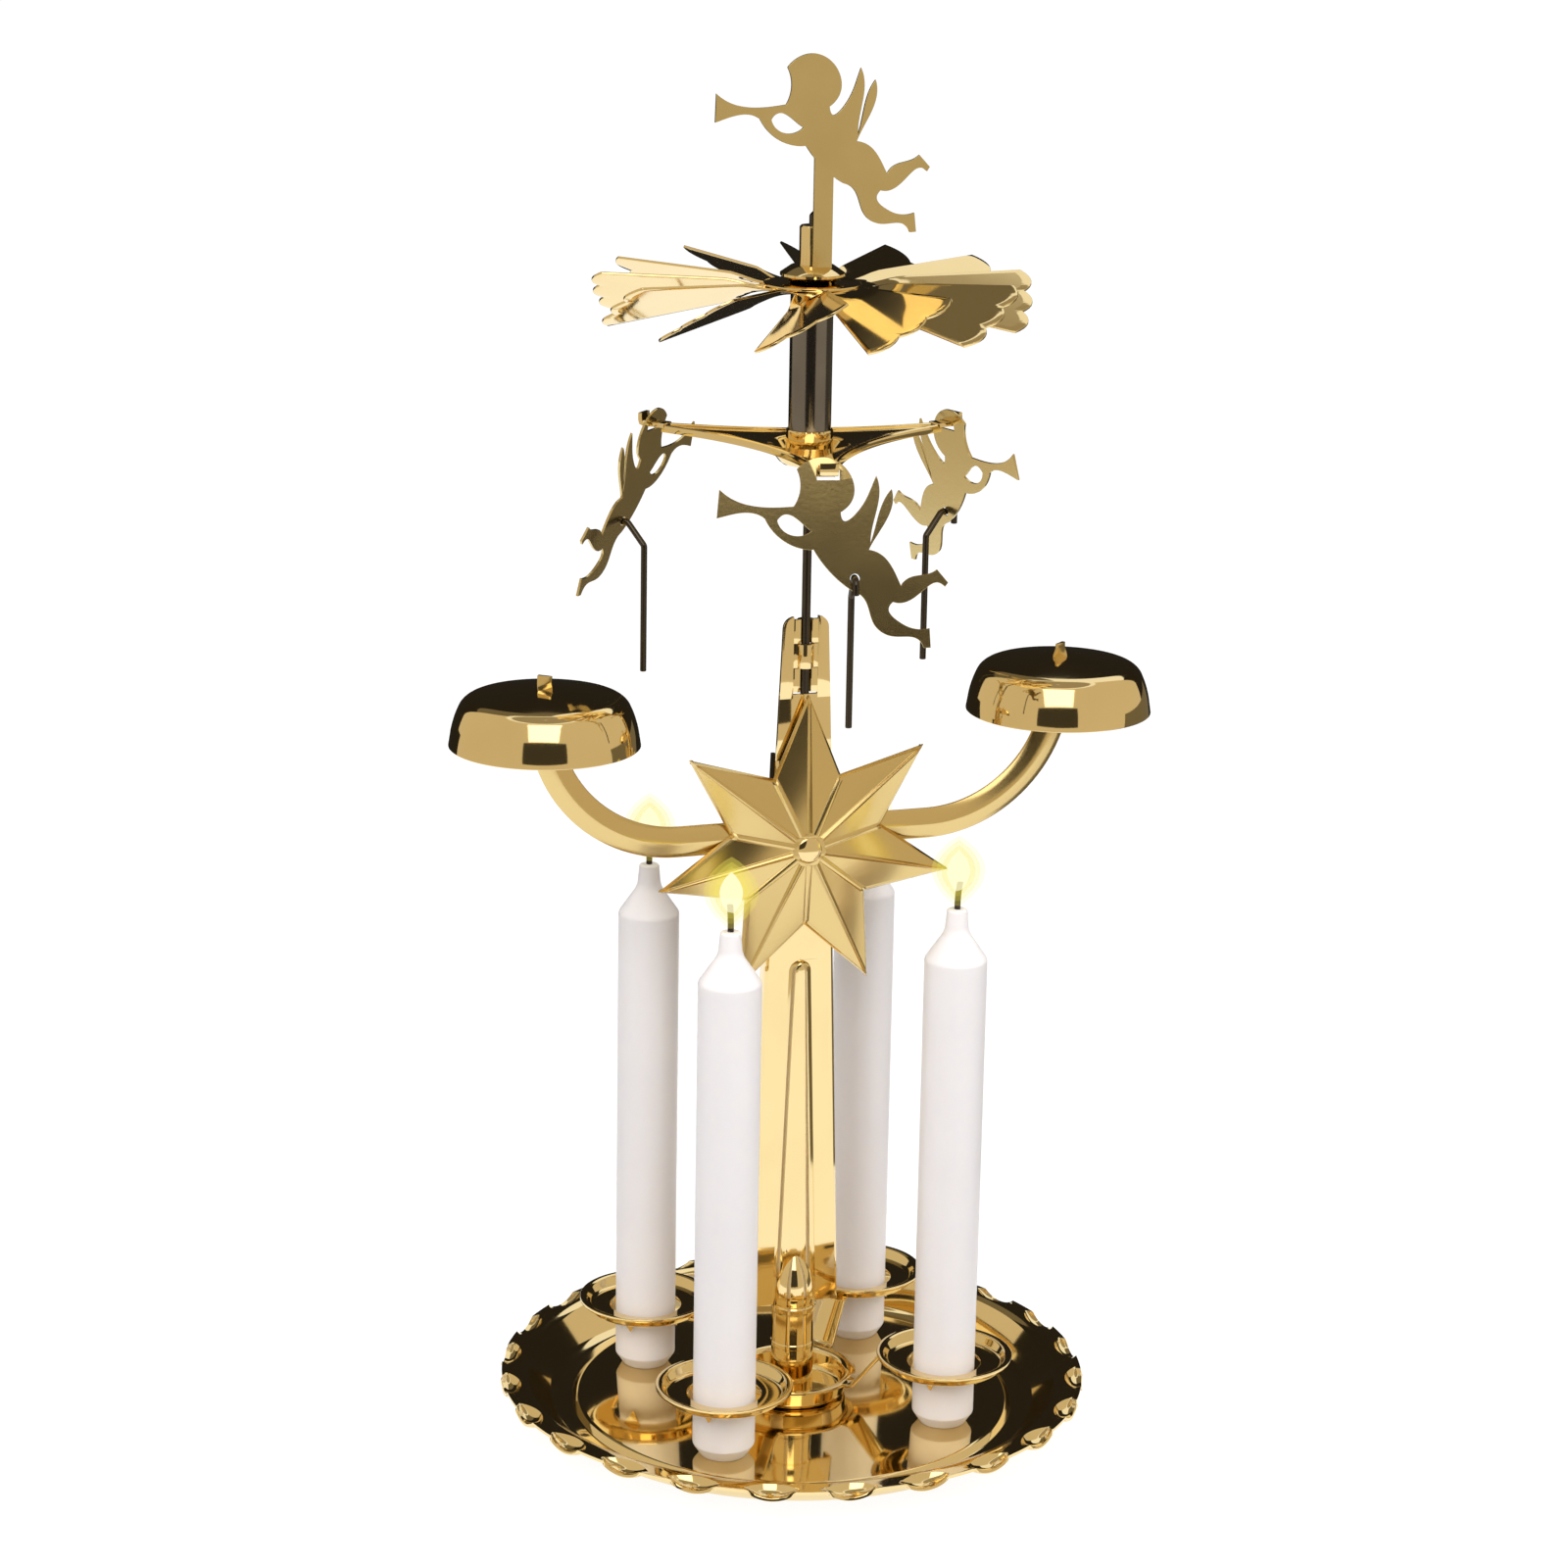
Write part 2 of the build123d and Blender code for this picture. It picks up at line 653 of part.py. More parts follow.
def hub_sleeve():
    return ring(SLEEVE_DIAMETER, SLEEVE_BORE, tube_top - BUSH_LENGTH, sleeve_top)


# Place of the top angel's mast: its own left and right, up, and away from the rotor axis
def mast_plane(height):
    turn = math.radians(TOP_ANGEL_TURN)
    along = Vector(math.cos(turn), math.sin(turn), 0)
    outward = Vector(math.sin(turn), -math.cos(turn), 0)
    origin = along * MAST_OFFSET + outward * MAST_DISTANCE + Vector(0, 0, height)
    return Plane(origin, x_dir=along, z_dir=outward)


# Double cone on the turbine that takes the mast's foot
def hub_collar():
    bore = (SLEEVE_DIAMETER + FIT) / 2
    face = COLLAR_FACE_DIAMETER / 2
    widest = COLLAR_DIAMETER / 2
    section = Polyline(
        (bore, 0),
        (face, 0),
        (widest, (COLLAR_HEIGHT - COLLAR_EDGE) / 2),
        (widest, (COLLAR_HEIGHT + COLLAR_EDGE) / 2),
        (face, COLLAR_HEIGHT),
        (bore, COLLAR_HEIGHT),
        close=True,
    )
    collar = Pos(0, 0, turbine_top) * turned(make_face(section))
    slot = Box(MAST_WIDTH + 2 * FIT, 4 * COLLAR_HEIGHT, ANGEL_SHEET + 2 * FIT)
    return collar - mast_plane(turbine_top) * slot


# Bearing pin: a plug in the sleeve with a cup for the spindle's point, and a nipped stem
def pivot_pin():
    plug = rod(SLEEVE_BORE - FIT, pin_bottom, sleeve_top)
    cup = Pos(0, 0, pin_bottom) * Cone(
        CUP_MOUTH / 2,
        SPINDLE_TIP_DIAMETER / 2,
        CUP_DEPTH,
        align=(Align.CENTER, Align.CENTER, Align.MIN),
    )
    stem_top = sleeve_top + PIN_STEM_LENGTH
    stem = rod(PIN_STEM, sleeve_top, stem_top)
    nip = Pos(0, 0, stem_top - PIN_STEM / 2) * Rot(0, -PIN_SLANT, 0) * Box(
        4 * PIN_STEM,
        4 * PIN_STEM,
        2 * PIN_STEM,
        align=(Align.CENTER, Align.CENTER, Align.MIN),
    )
    return plug + stem - cup - nip


# Flat hub with twisted blades whose outer edge has round lobes
def turbine_wheel():
    hub_radius = TURBINE_HUB / 2
    root = hub_radius - BLADE_ROOT / 2
    lobe_width = BLADE_TIP / LOBE_COUNT
    edge = TURBINE_RADIUS - LOBE_RISE
    lobe_points = []
    for i in range(LOBE_COUNT + 1):
        across = -BLADE_TIP / 2 + i * lobe_width
        lobe_points.append((math.sqrt(edge**2 - across**2), across))
    lobes = [SagittaArc(a, b, -LOBE_RISE) for a, b in zip(lobe_points, lobe_points[1:])]
    sides = Polyline(
        lobe_points[-1],
        (root, BLADE_ROOT / 2),
        (root, -BLADE_ROOT / 2),
        lobe_points[0],
    )
    blade = extrude(make_face([*lobes, sides]), TURBINE_SHEET / 2, both=True)
    blade = Rot(0, BLADE_DROOP, 0) * Rot(BLADE_PITCH, 0, 0) * blade
    hub = extrude(Circle(hub_radius), TURBINE_SHEET / 2, both=True)
    wheel = hub + [spot * blade for spot in PolarLocations(0, BLADE_COUNT, BLADE_FIRST_ANGLE)]
    wheel = wheel - extrude(Circle((SLEEVE_DIAMETER + FIT) / 2), TURBINE_SHEET, both=True)
    return Pos(0, 0, turbine_top - TURBINE_SHEET / 2) * wheel


# Three level troughs about a funnel and a collar for the tube, each with a tongue for an angel
def angel_carrier():
    collar_outer = TUBE_DIAMETER + FIT + 2 * CARRIER_COLLAR_WALL
    collar_rim = carrier_bottom + CARRIER_COLLAR
    collar = ring(collar_outer, TUBE_DIAMETER + FIT, carrier_bottom, collar_rim)
    arm_bottom = hinge_height - CARRIER_DROP
    line = [
        (SPINDLE_DIAMETER / 2 + RUN, tube_bottom),
        (collar_outer / 2, tube_bottom),
        (FUNNEL_DIAMETER / 2, arm_bottom + CARRIER_SHEET),
        (CARRIER_WEB - CARRIER_SHEET, arm_bottom + CARRIER_SHEET),
    ]
    bend = 1.5 * CARRIER_SHEET
    funnel = turned(sheet_section(line, CARRIER_SHEET, [bend, bend]))
    outline = carrier_outline()
    hollow = offset(outline, -CARRIER_SHEET, kind=Kind.INTERSECTION)
    trough = extrude(outline, CARRIER_SHEET + CARRIER_RIM)
    trough = trough - Pos(0, 0, CARRIER_SHEET) * extrude(hollow, 2 * CARRIER_RIM)
    trough = trough - extrude(Circle(FUNNEL_DIAMETER / 2), CARRIER_SHEET, both=True)
    tip = carrier_tip()
    spots = PolarLocations(0, CARRIER_COUNT, CARRIER_FIRST_ANGLE)
    return Pos(0, 0, arm_bottom) * trough + funnel + collar + [spot * tip for spot in spots]


# Three pointed arms with hollow curved sides
def carrier_outline():
    arm_length = CARRIER_RADIUS - CARRIER_TIP_GAP
    web = math.radians(180 / CARRIER_COUNT)
    start = (CARRIER_WEB * math.cos(web), CARRIER_WEB * math.sin(web))
    heading = (math.sin(web), -math.cos(web))
    curve = JernArc(start, heading, CARRIER_CURVE, CARRIER_CURVE_ANGLE)
    corner = (arm_length, CARRIER_TIP / 2)
    half = [curve, Line(curve @ 1, corner), Line(corner, (arm_length, 0))]
    arm = half + [mirror(edge, Plane.XZ) for edge in half]
    spots = PolarLocations(0, CARRIER_COUNT, CARRIER_FIRST_ANGLE)
    return make_face([spot * edge for spot in spots for edge in arm])


# Tongue that an angel's head hangs on, with a lug that keeps it on
def carrier_tip():
    tongue_start = CARRIER_RADIUS - CARRIER_TIP_GAP - CARRIER_SHEET
    tongue_end = CARRIER_RADIUS + TONGUE_REACH
    tongue = Pos(tongue_start, 0, hinge_height) * Box(
        tongue_end - tongue_start,
        CARRIER_TIP,
        CARRIER_SHEET,
        align=(Align.MIN, Align.CENTER, Align.MAX),
    )
    lug = Pos(tongue_end, 0, hinge_height) * Box(
        CARRIER_SHEET,
        CARRIER_TIP,
        LUG_HEIGHT,
        align=(Align.MAX, Align.CENTER, Align.MIN),
    )
    return tongue + lug


def smooth(*points):
    return Spline(*[Vector(*point) * angel_unit for point in points])


def straight(*points):
    return Polyline(*[Vector(*point) * angel_unit for point in points])


# Flying angel with a trumpet, drawn about its head slot, trumpet to the left
def angel_outline():
    edges = [
        straight((-20.9, -8.8), (-20.4, -3.4)),
        smooth((-20.4, -3.4), (-16.7, -5.8), (-13.4, -6.6), (-6.5, -6.6)),
        smooth((-6.5, -6.6), (-5.4, -4.2), (-5.3, -1.6), (-5.9, 0.3)),
        smooth((-5.9, 0.3), (-3.6, 2.0), (-0.3, 2.5), (3.2, 0.6), (4.9, -3.1), (2.3, -7.7)),
        smooth((2.3, -7.7), (2.9, -9.3), (5.9, -7.1), (7.7, -4.0), (9.0, -0.9)),
        smooth((9.0, -0.9), (9.6, -3.6), (8.9, -8.0), (7.9, -13.4)),
        smooth((7.9, -13.4), (9.2, -9.0), (10.4, -5.6), (11.9, -3.4)),
        smooth((11.9, -3.4), (12.0, -6.4), (10.5, -9.9), (7.6, -14.7)),
        smooth((7.6, -14.7), (11.0, -16.6), (12.6, -19.2), (13.6, -21.4)),
        smooth((13.6, -21.4), (16.4, -19.6), (18.8, -19.2), (20.4, -18.4)),
        straight((20.4, -18.4), (22.5, -20.9), (21.9, -21.7)),
        smooth((21.9, -21.7), (20.2, -20.9), (18.0, -22.2), (14.6, -24.5), (12.1, -24.5)),
        smooth((12.1, -24.5), (11.3, -26.0), (13.0, -28.0), (15.8, -29.4), (19.0, -29.4)),
        straight((19.0, -29.4), (19.2, -33.1), (17.9, -33.1)),
        smooth((17.9, -33.1), (16.4, -31.3), (11.8, -30.9), (8.6, -28.8), (7.1, -24.6), (4.6, -22.5)),
        smooth((4.6, -22.5), (1.6, -20.2), (-0.5, -18.0), (-2.8, -14.7)),
        smooth((-2.8, -14.7), (-5.8, -14.3), (-9.0, -12.6), (-11.9, -8.9)),
        smooth((-11.9, -8.9), (-13.6, -8.0), (-16.2, -7.8), (-20.9, -8.8)),
    ]
    elbow = [
        smooth((-9.6, -9.2), (-7.7, -8.1), (-5.6, -9.2), (-3.2, -11.2)),
        smooth((-3.2, -11.2), (-5.4, -12.1), (-7.8, -11.6), (-9.6, -9.2)),
    ]
    return make_face(edges) - make_face(elbow)


# Level directions at a hanging angel: away from the rotor axis and to its trailing side
def hanging_directions(index):
    angle = math.radians(CARRIER_FIRST_ANGLE + index * 360 / CARRIER_COUNT)
    outward = Vector(math.cos(angle), math.sin(angle), 0)
    trailing = Vector(-math.sin(angle), math.cos(angle), 0)
    return outward, trailing


# Place of a hanging angel: trailing side, up, and away from the rotor axis, leaning outwards
def hanging_plane(index):
    lean = math.radians(ANGEL_LEAN)
    outward, trailing = hanging_directions(index)
    facing = outward * math.cos(lean) + Vector(0, 0, math.sin(lean))
    origin = outward * CARRIER_RADIUS + Vector(0, 0, hinge_height)
    return Plane(origin, x_dir=trailing, z_dir=facing)


# Upright place of a striker at the angel's belly hole: outwards, up, and to the leading side
def striker_plane(index):
    outward, trailing = hanging_directions(index)
    origin = outward * belly_radius + trailing * belly_x + Vector(0, 0, belly_height)
    return Plane(origin, x_dir=outward, z_dir=trailing * -1)


def hanging_angel(index):
    slot_middle = HINGE_GAP - ANGEL_SLOT_HEIGHT / 2
    slot = Rectangle(CARRIER_TIP + 2 * ANGEL_SLOT_PLAY, ANGEL_SLOT_HEIGHT)
    outline = angel_outline() - Pos(0, slot_middle) * slot
    outline = outline - Pos(belly_x, belly_y) * Circle(BELLY_HOLE / 2)
    return hanging_plane(index) * extrude(outline, ANGEL_SHEET / 2, both=True)


def top_angel():
    figure = Pos(-MAST_IN_ANGEL, MAST_HEIGHT) * Rot(0, 0, TOP_ANGEL_TILT) * angel_outline()
    mast_length = MAST_HEIGHT - MAST_OVERLAP
    mast = Pos(0, mast_length / 2) * Rectangle(MAST_WIDTH, mast_length)
    return mast_plane(turbine_top) * extrude(figure + mast, ANGEL_SHEET / 2, both=True)


# Wire that hooks through the angel's belly hole, cranks inwards and hangs down to the bells
def striker(index):
    route = FilletPolyline(
        (STRIKER_HOOK_REACH, -STRIKER_HOOK),
        (STRIKER_HOOK_REACH, 0),
        (-STRIKER_STAND, 0),
        (-STRIKER_CRANK, -STRIKER_CRANK_DROP),
        (-STRIKER_CRANK, -STRIKER_LENGTH),
        radius=STRIKER_BEND,
    )
    start = Plane(route @ 0, z_dir=route % 0)
    wire = sweep(start * Circle(STRIKER_DIAMETER / 2), route)
    return striker_plane(index) * wire


pieces = {
    "base_tray": base_tray(),
    "candle_rack": candle_rack(),
    "column_socket": column_socket(),
    "column": column(),
    "star": star(),
    "star_rivet": star_rivet(),
    "bell_arms": bell_arms(),
    "bell_left": Pos(-bell_reach, 0, 0) * bell(),
    "bell_right": Pos(bell_reach, 0, 0) * bell(),
    "spindle": spindle(),
    "rotor_tube": rotor_tube(),
    "tube_bush": tube_bush(),
    "hub_sleeve": hub_sleeve(),
    "hub_collar": hub_collar(),
    "pivot_pin": pivot_pin(),
    "turbine_wheel": turbine_wheel(),
    "angel_carrier": angel_carrier(),
    "top_angel": top_angel(),
}
for index in range(CARRIER_COUNT):
    pieces[f"angel_{index + 1}"] = hanging_angel(index)
    pieces[f"striker_{index + 1}"] = striker(index)
candle_spots = PolarLocations(CANDLE_CIRCLE, CANDLE_COUNT, CANDLE_FIRST_ANGLE)
for index, spot in enumerate(candle_spots):
    pieces[f"candle_{index + 1}"] = spot * candle()
    pieces[f"wick_{index + 1}"] = spot * wick()

os.makedirs("parts", exist_ok=True)
for name, piece in pieces.items():
    export_step(piece, f"parts/{name}.step")
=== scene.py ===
import math

import bmesh
import bpy
from bmesh.types import BMEdge, BMVert
from bpy.props import FloatProperty, FloatVectorProperty, IntProperty, PointerProperty
from mathutils import Matrix, Vector


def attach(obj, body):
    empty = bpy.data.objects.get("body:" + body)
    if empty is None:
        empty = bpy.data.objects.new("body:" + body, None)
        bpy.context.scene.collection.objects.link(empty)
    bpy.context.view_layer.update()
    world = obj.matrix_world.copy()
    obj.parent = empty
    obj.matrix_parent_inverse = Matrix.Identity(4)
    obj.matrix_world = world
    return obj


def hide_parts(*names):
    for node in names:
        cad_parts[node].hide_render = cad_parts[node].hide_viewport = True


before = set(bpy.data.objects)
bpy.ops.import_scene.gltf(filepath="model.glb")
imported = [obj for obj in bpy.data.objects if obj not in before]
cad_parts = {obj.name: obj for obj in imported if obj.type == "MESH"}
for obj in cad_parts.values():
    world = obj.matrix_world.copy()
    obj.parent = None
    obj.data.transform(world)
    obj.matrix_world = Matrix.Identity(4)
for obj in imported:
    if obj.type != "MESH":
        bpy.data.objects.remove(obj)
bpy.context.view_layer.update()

bl_info = {
    "name": "Angel chime carousel",
    "version": (1, 0, 0),
    "blender": (4, 5, 0),
    "location": "3D View > Sidebar > Chime",
    "description": "Makes the visible pieces of a brass angel chime around its packed frame",
    "category": "Object",
}

MM = 0.001
FULL_TURN = 2 * math.pi
QUARTER = math.pi / 2
UP, FRONT = (0, 0, 1), (0, -1, 0)

# Edges bent more than this many degrees are sharp
CREASE = 38.0

# Heights, places and counts of the stand and the rotor, in mm and degrees
TRAY_FLOOR = 2.0
TRAY_EDGE = 61.05
FLANGE_HEIGHT = 7.5
FLANGE_ROWS = 12
SOCKET_FOOT = 2.7
SOCKET_TOP = 22.0
COLUMN_FRONT = -0.4
COLUMN_NECK = 141.0
WINDOW_FOOT = 153.75
COLUMN_TOP = 169.8
STAR_HEIGHT = 122.3
STAR_BACK = 2.4
STAR_POINTS = 7
ARM_HEIGHT = 125.0
STRAP_BACK = 1.2
BELL_SEAT = 157.7
BELL_RIM = 147.3
BELL_REACH = 54.57
BELL_DEPTH = -1.75
CARRIER_FLOOR = 200.9
HINGE_HEIGHT = 206.1
TUBE_FOOT = 201.7
TUBE_TOP = 236.3
TURBINE_TOP = 236.8
HUB_BORE = 2.75
COLLAR_TOP = 240.2
SLEEVE_TOP = 248.0
CUP_LIP = 7.0
RING_FLOOR = 15.2
CANDLE_CIRCLE = 34.3
CANDLE_ANGLES = [47.5 + 90 * n for n in range(4)]
CANDLE_LENGTH = 111.3
ANGEL_ANGLES = [-103.0 + 120 * n for n in range(3)]
BELLY_RADIUS = 38.745
BELLY_BEHIND = 5.027
BELLY_HEIGHT = 186.128


def linear(code):
    """Linear colour of an sRGB hex value."""
    values = [int(code[i:i + 2], 16) / 255 for i in (0, 2, 4)]
    return [v / 12.92 if v <= 0.04045 else ((v + 0.055) / 1.055) ** 2.4 for v in values]


def length_setting(name, description, size):
    """A length that a user can set, with its default in mm."""
    return FloatProperty(name=name, description=description, default=size * MM, unit="LENGTH")


def colour_setting(name, description, code):
    """A colour that a user can set, with its default as an sRGB hex value."""
    return FloatVectorProperty(name=name, description=description, default=linear(code), size=3,
                               subtype="COLOR", min=0, max=1)


class ChimeSizes(bpy.types.PropertyGroup):
    """Sizes of the chime's pieces"""

    tray_sheet: length_setting("Tray sheet", "Thickness of the tray's sheet", 0.6)
    rack_sheet: length_setting("Rack sheet", "Thickness of the candle rack's sheet", 0.7)
    strip_sheet: length_setting("Strip sheet", "Thickness of the column, arms, bells and carrier", 0.8)
    star_sheet: length_setting("Star sheet", "Thickness of the star's sheet", 0.7)
    blade_sheet: length_setting("Blade sheet", "Thickness of the turbine's sheet", 0.5)
    cut_edge: length_setting("Cut edge", "Rounding of the cut edges", 0.12)
    dimple_depth: length_setting("Dimple depth", "Depth of the dimples in the tray's flange", 1.8)
    dimple_count: IntProperty(name="Dimples", description="Dimples round the tray's flange", default=24)
    star_rise: length_setting("Star rise", "Height of the star's centre over its edge", 2.4)
    star_bead: length_setting("Star bead", "Height of the beads along the star's lines", 0.42)
    blade_pitch: FloatProperty(
        name="Blade pitch", description="Twist of the turbine's blades", default=math.radians(29),
        subtype="ANGLE")
    flame_height: length_setting("Flame height", "Height of a candle flame", 15.0)


class ChimeColours(bpy.types.PropertyGroup):
    """Colours of the chime's finishes"""

    brass: colour_setting("Polished brass", "Buffed and lacquered sheet", "F9E2AA")
    brass_deep: colour_setting("Deep brass", "Brass under thicker lacquer", "E9CF94")
    pressed: colour_setting("Pressed brass", "Pressed and lacquered sheet", "E4C98A")
    stamped: colour_setting("Stamped brass", "Plain stamped sheet", "DCC68C")
    steel: colour_setting("Steel", "Drawn steel tube", "8A8480")
    wire: colour_setting("Wire", "Drawn steel wire", "565049")
    wax: colour_setting("Wax", "White candle wax", "F6F1F1")
    wick: colour_setting("Wick", "Charred cotton", "2A2019")
    flame: colour_setting("Flame", "Candle flame", "FFEF62")
    flame_core: colour_setting("Flame core", "Brightest part of a candle flame", "FFFDF0")


# Materials

def add_node(tree, kind, settings=(), values=(), links=()):
    """Adds a node, sets it and links its inputs."""
    node = tree.nodes.new(kind)
    for name, value in dict(settings).items():
        setattr(node, name, value)
    for name, value in dict(values).items():
        node.inputs[name].default_value = value
    for name, socket in dict(links).items():
        tree.links.new(socket, node.inputs[name])
    return node


def blank_material(name):
    """An empty node material, and its tree."""
    material = bpy.data.materials.new(name)
    material.use_nodes = True
    material.node_tree.nodes.clear()
    return material, material.node_tree


def surfaced(material, tree, shader):
    """The material, with this shader as its surface."""
    add_node(tree, "ShaderNodeOutputMaterial", links={"Surface": shader.outputs[0]})
    return material


def waviness(tree, spread, fine):
    """Slow and fine noise over a piece, for patterns this many mm wide."""
    place = add_node(tree, "ShaderNodeTexCoord").outputs["Object"]
    slow = add_node(tree, "ShaderNodeTexNoise", values={"Scale": 1 / (spread * MM), "Detail": 3.0},
                    links={"Vector": place})
    quick = add_node(tree, "ShaderNodeTexNoise", values={"Scale": 1 / (fine * MM), "Detail": 2.0},
                     links={"Vector": place})
    return slow.outputs["Fac"], quick.outputs["Fac"]


def mixed(tree, first, second, share):
    """A colour that goes from the first to the second with the share."""
    return add_node(tree, "ShaderNodeMix", {"data_type": "RGBA"}, {6: (*first, 1), 7: (*second, 1)},
                    {0: share}).outputs[2]


def rippled(tree, height, strength, depth):
    """Normals of a ripple this many mm deep."""
    return add_node(tree, "ShaderNodeBump", values={"Strength": strength, "Distance": depth * MM},
                    links={"Height": height}).outputs["Normal"]


def scaled(colour, share):
    return [part * share for part in colour]


def metal(name, first, second, spread, fine, gloss, ripple):
    """A metal whose colour and gloss drift slowly, with a shallow ripple."""
    material, tree = blank_material(name)
    slow, quick = waviness(tree, spread, fine)
    rough = add_node(tree, "ShaderNodeMapRange", values={"To Min": gloss[0], "To Max": gloss[1]},
                     links={"Value": slow})
    shader = add_node(tree, "ShaderNodeBsdfPrincipled", values={"Metallic": 1.0},
                      links={"Base Color": mixed(tree, first, second, slow),
                             "Roughness": rough.outputs["Result"],
                             "Normal": rippled(tree, quick, 0.35, ripple)})
    return surfaced(material, tree, shader)


def polished_brass(colours):
    # Brass sheet, pressed, buffed and lacquered: a mirror with a faint waviness from the rolling
    return metal("polished_lacquered_brass", colours.brass, colours.brass_deep, 24.0, 7.0,
                 (0.04, 0.09), 0.008)


def pressed_brass(colours):
    # Brass sheet pressed in a die and lacquered unbuffed: it mirrors light and dark, but no shapes
    return metal("pressed_lacquered_brass", colours.pressed, scaled(colours.pressed, 0.93), 18.0, 3.0,
                 (0.17, 0.25), 0.006)


def stamped_brass(colours):
    # Thin brass sheet, blanked and left unbuffed: a soft even sheen with a fine rolling grain
    return metal("stamped_rolled_brass", colours.stamped, scaled(colours.stamped, 0.86), 9.0, 0.8,
                 (0.14, 0.20), 0.02)


def drawn_steel(colours):
    # Bright drawn steel: dark grey mirror with faint draw marks
    return metal("bright_drawn_steel", colours.steel, scaled(colours.steel, 0.7), 6.0, 1.2,
                 (0.10, 0.2), 0.01)


def drawn_wire(colours):
    # Steel wire, drawn and cut: darker than the tube and less bright
    return metal("drawn_steel_wire", colours.wire, scaled(colours.wire, 0.7), 4.0, 0.9,
                 (0.16, 0.28), 0.01)


def poured_wax(colours):
    # Poured paraffin wax: white, slightly cool, with light that sinks in and a soft gloss
    material, tree = blank_material("poured_paraffin_wax")
    slow, quick = waviness(tree, 14.0, 3.0)
    shader = add_node(tree, "ShaderNodeBsdfPrincipled",
                      values={"Roughness": 0.38, "IOR": 1.44, "Subsurface Weight": 0.35,
                              "Subsurface Radius": (1.0, 0.85, 0.7), "Subsurface Scale": 2.0 * MM},
                      links={"Base Color": mixed(tree, colours.wax, scaled(colours.wax, 0.94), slow),
                             "Normal": rippled(tree, quick, 0.25, 0.08)})
    return surfaced(material, tree, shader)


def charred_cotton(colours):
    # Braided cotton, burnt: black brown and matt, with the braid as slanted ridges
    material, tree = blank_material("charred_braided_cotton")
    place = add_node(tree, "ShaderNodeTexCoord").outputs["Object"]
    braid = add_node(tree, "ShaderNodeTexWave", {"bands_direction": "DIAGONAL"},
                     {"Scale": 1 / (3.2 * MM), "Distortion": 2.0}, {"Vector": place}).outputs["Fac"]
    shader = add_node(tree, "ShaderNodeBsdfPrincipled", values={"Roughness": 0.9},
                      links={"Base Color": mixed(tree, colours.wick, scaled(colours.wick, 2.2), braid),
                             "Normal": rippled(tree, braid, 0.8, 0.15)})
    return surfaced(material, tree, shader)


def glowing(name, colour, strength, alpha):
    """A clear glow with no surface of its own."""
    material, tree = blank_material(name)
    shader = add_node(tree, "ShaderNodeBsdfPrincipled",
                      values={"Base Color": (0, 0, 0, 1), "Roughness": 1.0, "Specular IOR Level": 0.0,
                              "Emission Color": (*colour, 1), "Emission Strength": strength, "Alpha": alpha})
    return surfaced(material, tree, shader)


def flame_mantle(colours):
    # Burning wax vapour: a clear yellow glow
    return glowing("candle_flame_mantle", colours.flame, 1.0, 0.14)


def flame_core(colours):
    # The hot middle of the flame, over the wick: nearly white, and less clear
    return glowing("candle_flame_core", colours.flame_core, 1.2, 0.55)


# Each finish: its maker, and the name of a material slot
LOOKS = {
    "polished_brass": (polished_brass, "polished_brass"),
    "pressed_brass": (pressed_brass, "polished_brass"),
    "stamped_brass": (stamped_brass, "stamped_brass"),
    "steel": (drawn_steel, "steel_tube"),
    "wire": (drawn_wire, "steel_wire"),
    "wax": (poured_wax, "wax"),
    "wick": (charred_cotton, "wick"),
    "flame_mantle": (flame_mantle, None),
    "flame_core": (flame_core, None),
}
FINISHES = {}


def finish(look):
    """The material of a finish, made once."""
    if look not in FINISHES:
        maker, _ = LOOKS[look]
        FINISHES[look] = maker(bpy.context.scene.chime_colours)
    return FINISHES[look]


# Modelling helpers, all in mm

def wire(shell, points, close=False):
    """A run of edges through points."""
    verts = [shell.verts.new(point) for point in points]
    ends = verts[1:] + verts[:1] if close else verts[1:]
    edges = [shell.edges.new(pair) for pair in zip(verts, ends)]
    return verts, edges


def round_corner(shell, vert, radius, segments=6):
    """Rounds one corner of a wire to a radius."""
    first, second = [edge.other_vert(vert).co - vert.co for edge in vert.link_edges]
    turn = math.pi - first.angle(second)
    bmesh.ops.bevel(shell, geom=[vert], offset=radius * math.tan(turn / 2), offset_type="ABSOLUTE",
                    affect="VERTICES", segments=segments, profile=0.5, material=-1, clamp_overlap=False)


def bent_line(points, bends=(), close=False):
    """A shell with one line through points, rounded to these radii at its corners."""
    shell = bmesh.new()
    verts, _ = wire(shell, points, close)
    for vert, bend in zip(verts[1:-1], bends):
        round_corner(shell, vert, bend)
    return shell


def spun(shell, angle, steps, **options):
    """Spins all that is drawn so far about the upright axis."""
    bmesh.ops.spin(shell, geom=shell.verts[:] + shell.edges[:] + shell.faces[:], cent=(0, 0, 0),
                   axis=UP, angle=angle, steps=steps, **options)
    return shell


def welded(shell, gap=1e-4):
    """Joins the points that lie on each other."""
    bmesh.ops.remove_doubles(shell, verts=shell.verts[:], dist=gap)
    return shell


def closed(shell):
    """Turns the faces of a closed shell outwards."""
    bmesh.ops.recalc_face_normals(shell, faces=shell.faces[:])
    return shell


def turned(points, bends=(), steps=96, close=False):
    """A section drawn as radius and height, rounded at its corners and turned about the upright axis."""
    shell = bent_line([(radius, 0, height) for radius, height in points], bends, close)
    return welded(spun(shell, FULL_TURN, steps, use_merge=True))


